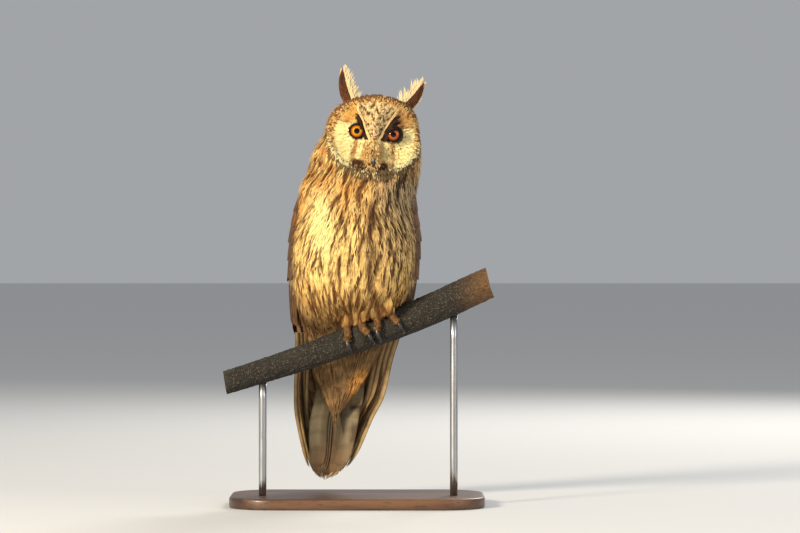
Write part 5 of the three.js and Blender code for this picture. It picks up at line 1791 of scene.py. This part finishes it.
# %% [markdown]
# Legs and toes are feathered down to the claws. The skin of each is a set of tubes, and a
# short pelt of small buff vanes lies over it. Two toes reach over the front of the branch
# and two over the back, and each ends in a strong, curved black claw. Longer feathers of
# the belly hang over the legs like trousers.

# %% Legs, toes and claws
FOOT_X = {"left": 30.0, "right": 3.0}
TOE_RADIUS, TOE_REST = 4.1, 13.4
TOE_PATH = TOE_REST + TOE_RADIUS
HEEL_TOP = TOE_REST + 2 * TOE_RADIUS + 0.8
TOES = [  # name, side, over the front or the back of the branch, degrees round it
    ("front_outer", 1, 1, 88), ("front_inner", -1, 1, 88),
    ("back_outer", 1, -1, 80), ("back_inner", -1, -1, 80)]


def perch_frame(x):
    middle, ahead = perch_axis(np.array(float(x)))
    return middle, ahead, np.array([-ahead[2], 0, ahead[0]])


def round_perch(x, degrees, radius, front):
    middle, _, up = perch_frame(x)
    angle = math.radians(degrees) * front
    return middle + up * radius * math.cos(angle) + np.array([0, -1.0, 0]) * radius * math.sin(angle)


def toe_knots(foot_x, side, front, reach):
    return [round_perch(foot_x + side * (3.2 + 1.6 * k), d, TOE_PATH - 0.3 * k, front)
            for k, d in enumerate((6, 30, 55, 78, reach))]


def claw_knots(foot_x, side, front, reach):
    steps = ((-3, 0), (16, 1.6), (34, 0.6), (49, -2.2))  # degrees past the toe, lift
    return [round_perch(foot_x + side * (9.6 + 0.5 * k), reach + d, TOE_PATH - 1.2 + lift, front)
            for k, (d, lift) in enumerate(steps)]


def tube_surface(knots, wide_at):
    """A surface rule round a curve: angle round it, and distance along it."""
    middle, _ = curve_points(knots, 60)
    far = np.concatenate([[0], np.cumsum(np.linalg.norm(np.diff(middle, axis=0), axis=1))])
    ahead = unit(np.gradient(middle, axis=0))
    side = unit(np.cross(ahead, [0, 0, 1.0]) + 1e-6)
    up = np.cross(side, ahead)

    def place_of(angle, along):
        centre, right, above = (np.stack([np.interp(along, far, table[:, k]) for k in range(3)], -1)
                                for table in (middle, side, up))
        radius = wide_at(along / far[-1])
        c, s = radius * np.cos(angle), radius * np.sin(angle)
        return centre + right * c[..., None] + above * s[..., None]

    surface = Surface(place_of, (0.1, 0.4), 1, [-math.pi, -4], [math.pi, far[-1] + 4])
    a, b = np.array([0.0]), np.array([3.0])
    from_centre = (surface.place(a, b) - surface.place(a + math.pi, b)) / 2
    surface.outward = -1 if (from_centre * surface.slopes(a, b)[2]).sum() < 0 else 1
    return surface, far[-1]


def pelt(surface, length, apart_along, count, vane, half, lift):
    along = np.arange(0.5, length, apart_along)
    n = count * len(along)
    angle = np.tile(np.linspace(-math.pi, math.pi, count, endpoint=False), len(along))
    angle = angle + RNG.uniform(-0.2, 0.2, n)
    along = np.repeat(along, count) + RNG.uniform(-0.4, 0.4, n) * apart_along
    turn = RNG.normal(0, 0.03, n) + RNG.normal(0, 0.09, n)
    size = vane * RNG.uniform(0.6, 1.3, n)
    height = rising(-0.6, lift + RNG.uniform(-0.5, 0.9, n), 1.2)
    return lay_vanes(surface, angle, np.clip(along, 0.1, length), (turn, np.ones(n)), size, half, height,
                     columns=2, rows=4, outline=POINTED, fray=0.2, push=lambda p: clear_of_branch(p, 0.4))


def make_foot(name, foot_x):
    across = perch_frame(15)[1]
    skins, batches = [], []
    for _, side, front, reach in TOES:
        knots = toe_knots(foot_x, side, front, reach)
        toe = lambda t: 3.5 * (1 - 0.2 * np.clip(t, 0, 1))
        skins.append(taper(knots, 24, 16, toe, toe, across))
        batches.append(pelt(*tube_surface(knots, toe), 1.0, 16, 6.0, 0.42, 1.1))
    middle, _, up = perch_frame(foot_x)
    heel = [middle + up * (TOE_REST + 2), middle + up * (HEEL_TOP - 2), middle + up * HEEL_TOP]
    skins.append(taper(heel, 12, 24, lambda t: 6.2 - 0.5 * t, lambda t: 6.2 - 0.5 * t, (1, 0, 0)))
    starts = np.cumsum([0] + [len(points) for points, _, _ in skins])
    points = np.concatenate([clear_of_branch(points, 0.3) for points, _, _ in skins])
    faces = np.concatenate([faces + start for (_, faces, _), start in zip(skins, starts)])
    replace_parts(make_piece(f"toes_{name}", points, faces, TOE_SKIN), f"foot_{name}")
    low = middle + up * (HEEL_TOP + 0.35)
    knots = [low, low + up * 9 + np.array([0, -0.6, 0]), np.array([foot_x * 0.8, -4, low[2] + 32])]
    points, faces, _ = taper(knots, 24, 28, lambda t: 6.2 + 3.2 * t, lambda t: 6.2 + 3.2 * t, (1, 0, 0))
    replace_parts(make_piece(f"shank_{name}", points, faces, TOE_SKIN), f"leg_{name}")
    surface, length = tube_surface(knots[::-1], lambda t: 9.4 - 3.2 * np.clip(t, 0, 1))
    batches.append(pelt(surface, length - 1, 1.8, 34, 9.5, 0.9, 1.6))
    coat_piece(f"toe_down_{name}", batches, plain_paint(tone(140, 104, 64), RUST, 0.15, 0.0, 0.55), FACE_COAT)
    for label, side, front, reach in TOES:
        claw = lambda t: 1.9 * np.sqrt(np.maximum(1 - t**2, 0)) + 0.16
        points, faces, along = taper(claw_knots(foot_x, side, front, reach), 30, 16, claw, claw, across)
        piece = make_piece(f"horn_{name}_{label}", points, faces, CLAW_HORN, values={"along": along})
        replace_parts(piece, f"claw_{name}_{label}")


def trousers():
    """Long soft feathers that hang from the belly over the toes and the branch."""
    def place_of(a, b):
        return np.stack([a, np.interp(b, [158, 171, 190], [-13.0, -17.0, -37.0]) + 0 * a, b], -1)

    def paint(batch):
        ground, ink, streak, bars = plumage(batch["points"] * (1, 0, 1) + (0, -40, 6))
        return ground, ink, 0.5 * streak[:, 0], 0 * bars[:, 0]

    surface = Surface(place_of, (0.5, 0.5), 1, [-20, 150], [60, 200])
    count = 300
    x = RNG.uniform(-11, 34, count)
    top = perch_axis(x)[0][:, 2] + 13
    root = top + RNG.uniform(4, 13, count)
    hang = np.interp(x, [-13, 0, 12, 24, 36, 47], [-2, 0.5, 1.5, 7, 7, 1])
    low = top - hang - RNG.uniform(-3.5, 2.5, count)
    flow = (RNG.normal(0.02, 0.08, count), -np.ones(count))
    half = RNG.uniform(0.9, 1.7, count)
    batch = lay_vanes(surface, x, root, flow, root - low, half, rising(-4.5, RNG.uniform(-1.6, 0.4, count)),
                      columns=6, rows=6, fray=0.25, part=0.6, push=lambda p: clear_of_branch(p, 1.4))
    coat_piece("trousers", [batch], paint, COAT)


def toe_skin_material():
    material, tree, shader = new_material("toe skin", 0.85)
    fine = noise(tree, object_coordinates(tree), 500.0, 3.0)
    finish(tree, shader, mix(tree, fine, tone(112, 74, 40), tone(160, 112, 62)), fine, 0.4, 0.0004)
    return material


trousers()
TOE_SKIN = toe_skin_material()
for foot, foot_x in FOOT_X.items():
    make_foot(foot, foot_x)
print("feet made")

# %% [markdown]
# The branch is a cut length of weathered wood. Its bark is a fine tube whose radius drifts
# with noise: long furrows, small warts, and one knot by the right foot. Colour comes from
# the same idea in the material, with grey and brown fields, pale specks and dark cracks.
# The cut ends show wood and growth rings.

# %% Branch


def make_branch():
    columns, rows = 110, 520
    x, angle = np.meshgrid(np.linspace(-118, 122, rows), np.linspace(0, 2 * math.pi, columns, endpoint=False),
                           indexing="ij")
    middle, ahead = perch_axis(x)
    up = np.stack([-ahead[..., 2], 0 * x, ahead[..., 0]], -1)
    c, s = np.cos(angle), np.sin(angle)

    def rough(along, stretch, seed):
        return lattice_noise(np.stack([x / along, stretch * c, stretch * s], -1), seed) - 0.5

    furrow, wart, fine = rough(11.25, 7.36, 1), rough(2.6, 5.5, 2), rough(1.1, 13, 3)
    knot = 3.4 * np.maximum(0, np.cos(angle + 0.5 * math.pi - 0.4)) * np.exp(-(((x - 5) / 7.5) ** 2))
    radius = perch_radius(x) + 0.9 * furrow + 0.75 * wart + 0.5 * fine + knot - 0.15
    ring = middle + np.array([0, 1.0, 0]) * (radius * s)[..., None] + up * (radius * c)[..., None]
    ends = middle[0, 0], middle[-1, 0]
    flat = np.concatenate([ring.reshape(-1, 3), ends])
    height = np.append(furrow + 0.8 * wart + 0.5 * fine, [0, 0])
    faces = tube_faces(columns, rows)[:-2 * columns, ::-1]
    piece = make_piece("branch", flat, faces, BARK, values={"height": height})
    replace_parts(piece, "perch_branch")
    discs = [centre + (rim - centre) * share for rim, centre in zip((ring[0], ring[-1]), ends)
             for share in np.linspace(1, 0.04, 9)]
    quads = ring_quads(columns, 9)
    faces = np.concatenate([quads, (quads + 9 * columns)[:, ::-1]])
    make_piece("branch_cut_ends", np.concatenate(discs), faces, CUT_WOOD)
    return piece


def bark_material():
    material, tree, shader = new_material("weathered bark", 0.9)
    spot = object_coordinates(tree)
    grain = noise(tree, object_coordinates(tree, (0.4, 1, 1), (0, math.radians(21), 0)), 420.0, 4.0, 0.7)
    speck = noise(tree, spot, 760.0, 2.0, 0.6)
    fields = ramp(tree, noise(tree, spot, 34.0, 4.0), 0.36, 0.62)
    colour = paint_over(
        tree, mix(tree, fields, tone(24, 21, 16), tone(40, 36, 27)),
        # Darker where the bark lies low, down in its furrows.
        (read(tree, "height", "Fac"), -0.15, -0.75, 0.8, tone(24, 18, 12)),
        (grain, 0.56, 0.4, 0.75, tone(26, 19, 12)), (speck, 0.57, 0.66, 0.75, tone(104, 94, 74)))
    by_the_end = ramp(tree, split(tree, spot)[0], 0.085, 0.125)
    warmth = times(tree, by_the_end, ramp(tree, grain, 0.3, 0.6, 0.2, 0.6))
    finish(tree, shader, mix(tree, warmth, colour, tone(132, 92, 50)), plus(tree, grain, speck), 0.7, 0.0006)
    return material


def cut_wood_material():
    """Growth rings round the branch's axis, whose height is not the same at its two ends."""
    material, tree, shader = new_material("cut wood", 0.75)
    spot = object_coordinates(tree)
    x, y, z = split(tree, spot)
    axis = joint(tree, "MULTIPLY_ADD", joint(tree, "LESS_THAN", x, 0.0), -0.091, 0.2035)
    squares = (joint(tree, "POWER", v, 2.0) for v in (y, minus(tree, z, axis)))
    far = joint(tree, "SQRT", plus(tree, *squares))
    uneven = plus(tree, far, times(tree, noise(tree, spot, 130.0, 2.0), 0.0018))
    rings = joint(tree, "SINE", times(tree, uneven, 5200.0))
    colour = mix(tree, ramp(tree, rings, -0.4, 0.9), tone(206, 172, 122), tone(168, 126, 80))
    colour = paint_over(tree, colour, (far, 0.009, 0.0125, 1.0, tone(110, 80, 50)))
    finish(tree, shader, colour, rings, 0.2, 0.0003)
    return material


BARK, CUT_WOOD = bark_material(), cut_wood_material()
branch = make_branch()
print("branch", len(branch.data.polygons), "faces")

# %% [markdown]
# The stand is plain on purpose: an oiled walnut plate with round corners and two brushed
# steel rods up to the branch. The plate's outline is a rounded rectangle, and a profile of
# small steps round its edge gives it a soft bevel that catches the light.

# %% Stand
BASE_LEFT, BASE_RIGHT, BASE_FRONT, BASE_BACK, BASE_CORNER = 118.0, -114.0, -52.0, 84.0, 40.0
BASE_EDGE = [  # moved inwards, height
    (1.4, 0), (0.5, 0.35), (0.1, 1.2), (0, 2.2), (0, 7.4), (0.2, 8.5), (0.7, 9.35), (1.5, 9.8),
    (2.6, 10), (14, 10)]


def base_outline(inset):
    """Corners of the plate's outline, moved inwards."""
    left, right = BASE_LEFT - BASE_CORNER, BASE_RIGHT + BASE_CORNER
    front, back = BASE_FRONT + BASE_CORNER, BASE_BACK - BASE_CORNER
    radius = BASE_CORNER - inset
    points = []
    for cx, cy, first in ((left, back, 0), (right, back, 90), (right, front, 180), (left, front, 270)):
        a = np.radians(np.linspace(first, first + 90, 15))
        points.append(np.column_stack([cx + radius * np.cos(a), cy + radius * np.sin(a)]))
    return np.concatenate(points)


def make_base():
    rings = [np.column_stack([base_outline(inset), np.full(60, z)]) for inset, z in BASE_EDGE]
    flat = np.concatenate(rings + [[[2.0, 16.0, 0.0], [2.0, 16.0, 10.0]]])
    return make_piece("walnut_plate", flat, tube_faces(60, len(BASE_EDGE)), WALNUT)


def walnut_material():
    material, tree, shader = new_material("oiled walnut", 0.42, Coat_Weight=0.25, Coat_Roughness=0.25)
    drawn_out = object_coordinates(tree, (0.09, 1, 1))
    grain = noise(tree, drawn_out, 60.0, 5.0, 0.6)
    pores = noise(tree, drawn_out, 900.0, 2.0)
    colour = paint_over(tree, mix(tree, ramp(tree, grain, 0.35, 0.66), tone(60, 38, 24), tone(110, 74, 46)),
                        (pores, 0.42, 0.3, 0.7, tone(34, 20, 12)))
    finish(tree, shader, colour, pores, 0.25, 0.0003, ramp(tree, grain, 0.3, 0.7, 0.36, 0.5))
    return material


def steel_material():
    material, tree, shader = new_material("brushed steel", 0.3, Metallic=1.0)
    lines = noise(tree, object_coordinates(tree, (1, 1, 0.02)), 2600.0, 2.0)
    colour = mix(tree, lines, tone(150, 150, 152), tone(196, 196, 198))
    finish(tree, shader, colour, rough=ramp(tree, lines, 0.3, 0.7, 0.24, 0.4))
    return material


WALNUT, STEEL = walnut_material(), steel_material()
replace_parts(make_base(), "stand_base")
for number, rod_x in enumerate((-84.0, 90.0)):
    at = np.array(rod_x)
    top = float(perch_axis(at)[0][2]) - float(perch_radius(at)) + 1.0
    knots = [(rod_x, 0, 10.2), (rod_x, 0, 60), (rod_x, 0, top)]
    rod_points, rod_faces, _ = taper(knots, 8, 40, lambda t: 3.5 + 0 * t, lambda t: 3.5 + 0 * t, (1, 0, 0))
    rod = make_piece(f"steel_rod_{number + 1}", rod_points, rod_faces, STEEL)
    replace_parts(rod, f"stand_rod_{number + 1}")
print("stand made")

# %% [markdown]
# A plain pale floor and soft lamps finish the picture. The warm key lamp stands on the viewer's left, as the
# low sun does in the photograph, and a weaker one fills the other side. The Standard view shows warm colours
# as they are, where Blender's usual one would turn them paler.

# %% Floor and light


def make_floor():
    mesh = bpy.data.meshes.new("floor")
    mesh.from_pydata([(-40, -40, 0), (40, -40, 0), (40, 40, 0), (-40, 40, 0)], [], [(0, 1, 2, 3)])
    material, _, shader = new_material("pale floor", 0.8)
    shader.inputs["Base Color"].default_value = (0.7, 0.7, 0.69, 1)
    mesh.materials.append(material)
    floor = bpy.data.objects.new("floor", mesh)
    bpy.context.scene.collection.objects.link(floor)


def lamp(name, place_of, aim, size, watts, colour):
    data = bpy.data.lights.new(name, "AREA")
    data.shape, data.size, data.energy, data.color = "DISK", size, watts, colour
    item = bpy.data.objects.new(name, data)
    item.location = place_of
    x, y, z = np.array(aim, float) - np.array(place_of, float)
    item.rotation_euler = (math.atan2(math.hypot(x, y), -z), 0, math.atan2(x, -y) + math.pi)
    bpy.context.scene.collection.objects.link(item)


make_floor()
lamp("key", (-1.6, -1.9, 1.0), (0, 0, 0.22), 0.5, 96, (1.0, 0.88, 0.69))
lamp("fill", (1.9, -1.6, 0.9), (0, 0, 0.2), 1.4, 16, (0.95, 0.96, 1.0))
lamp("rim", (0.9, 1.9, 1.4), (0, 0, 0.25), 0.9, 30, (1.0, 0.96, 0.9))
world = bpy.data.worlds.new("studio")
bpy.context.scene.world = world
world.use_nodes = True
sky = world.node_tree.nodes["Background"].inputs
sky[0].default_value = (0.80, 0.83, 0.87, 1)
sky[1].default_value = 0.45
bpy.context.scene.view_settings.view_transform = "Standard"
print("lamps made")
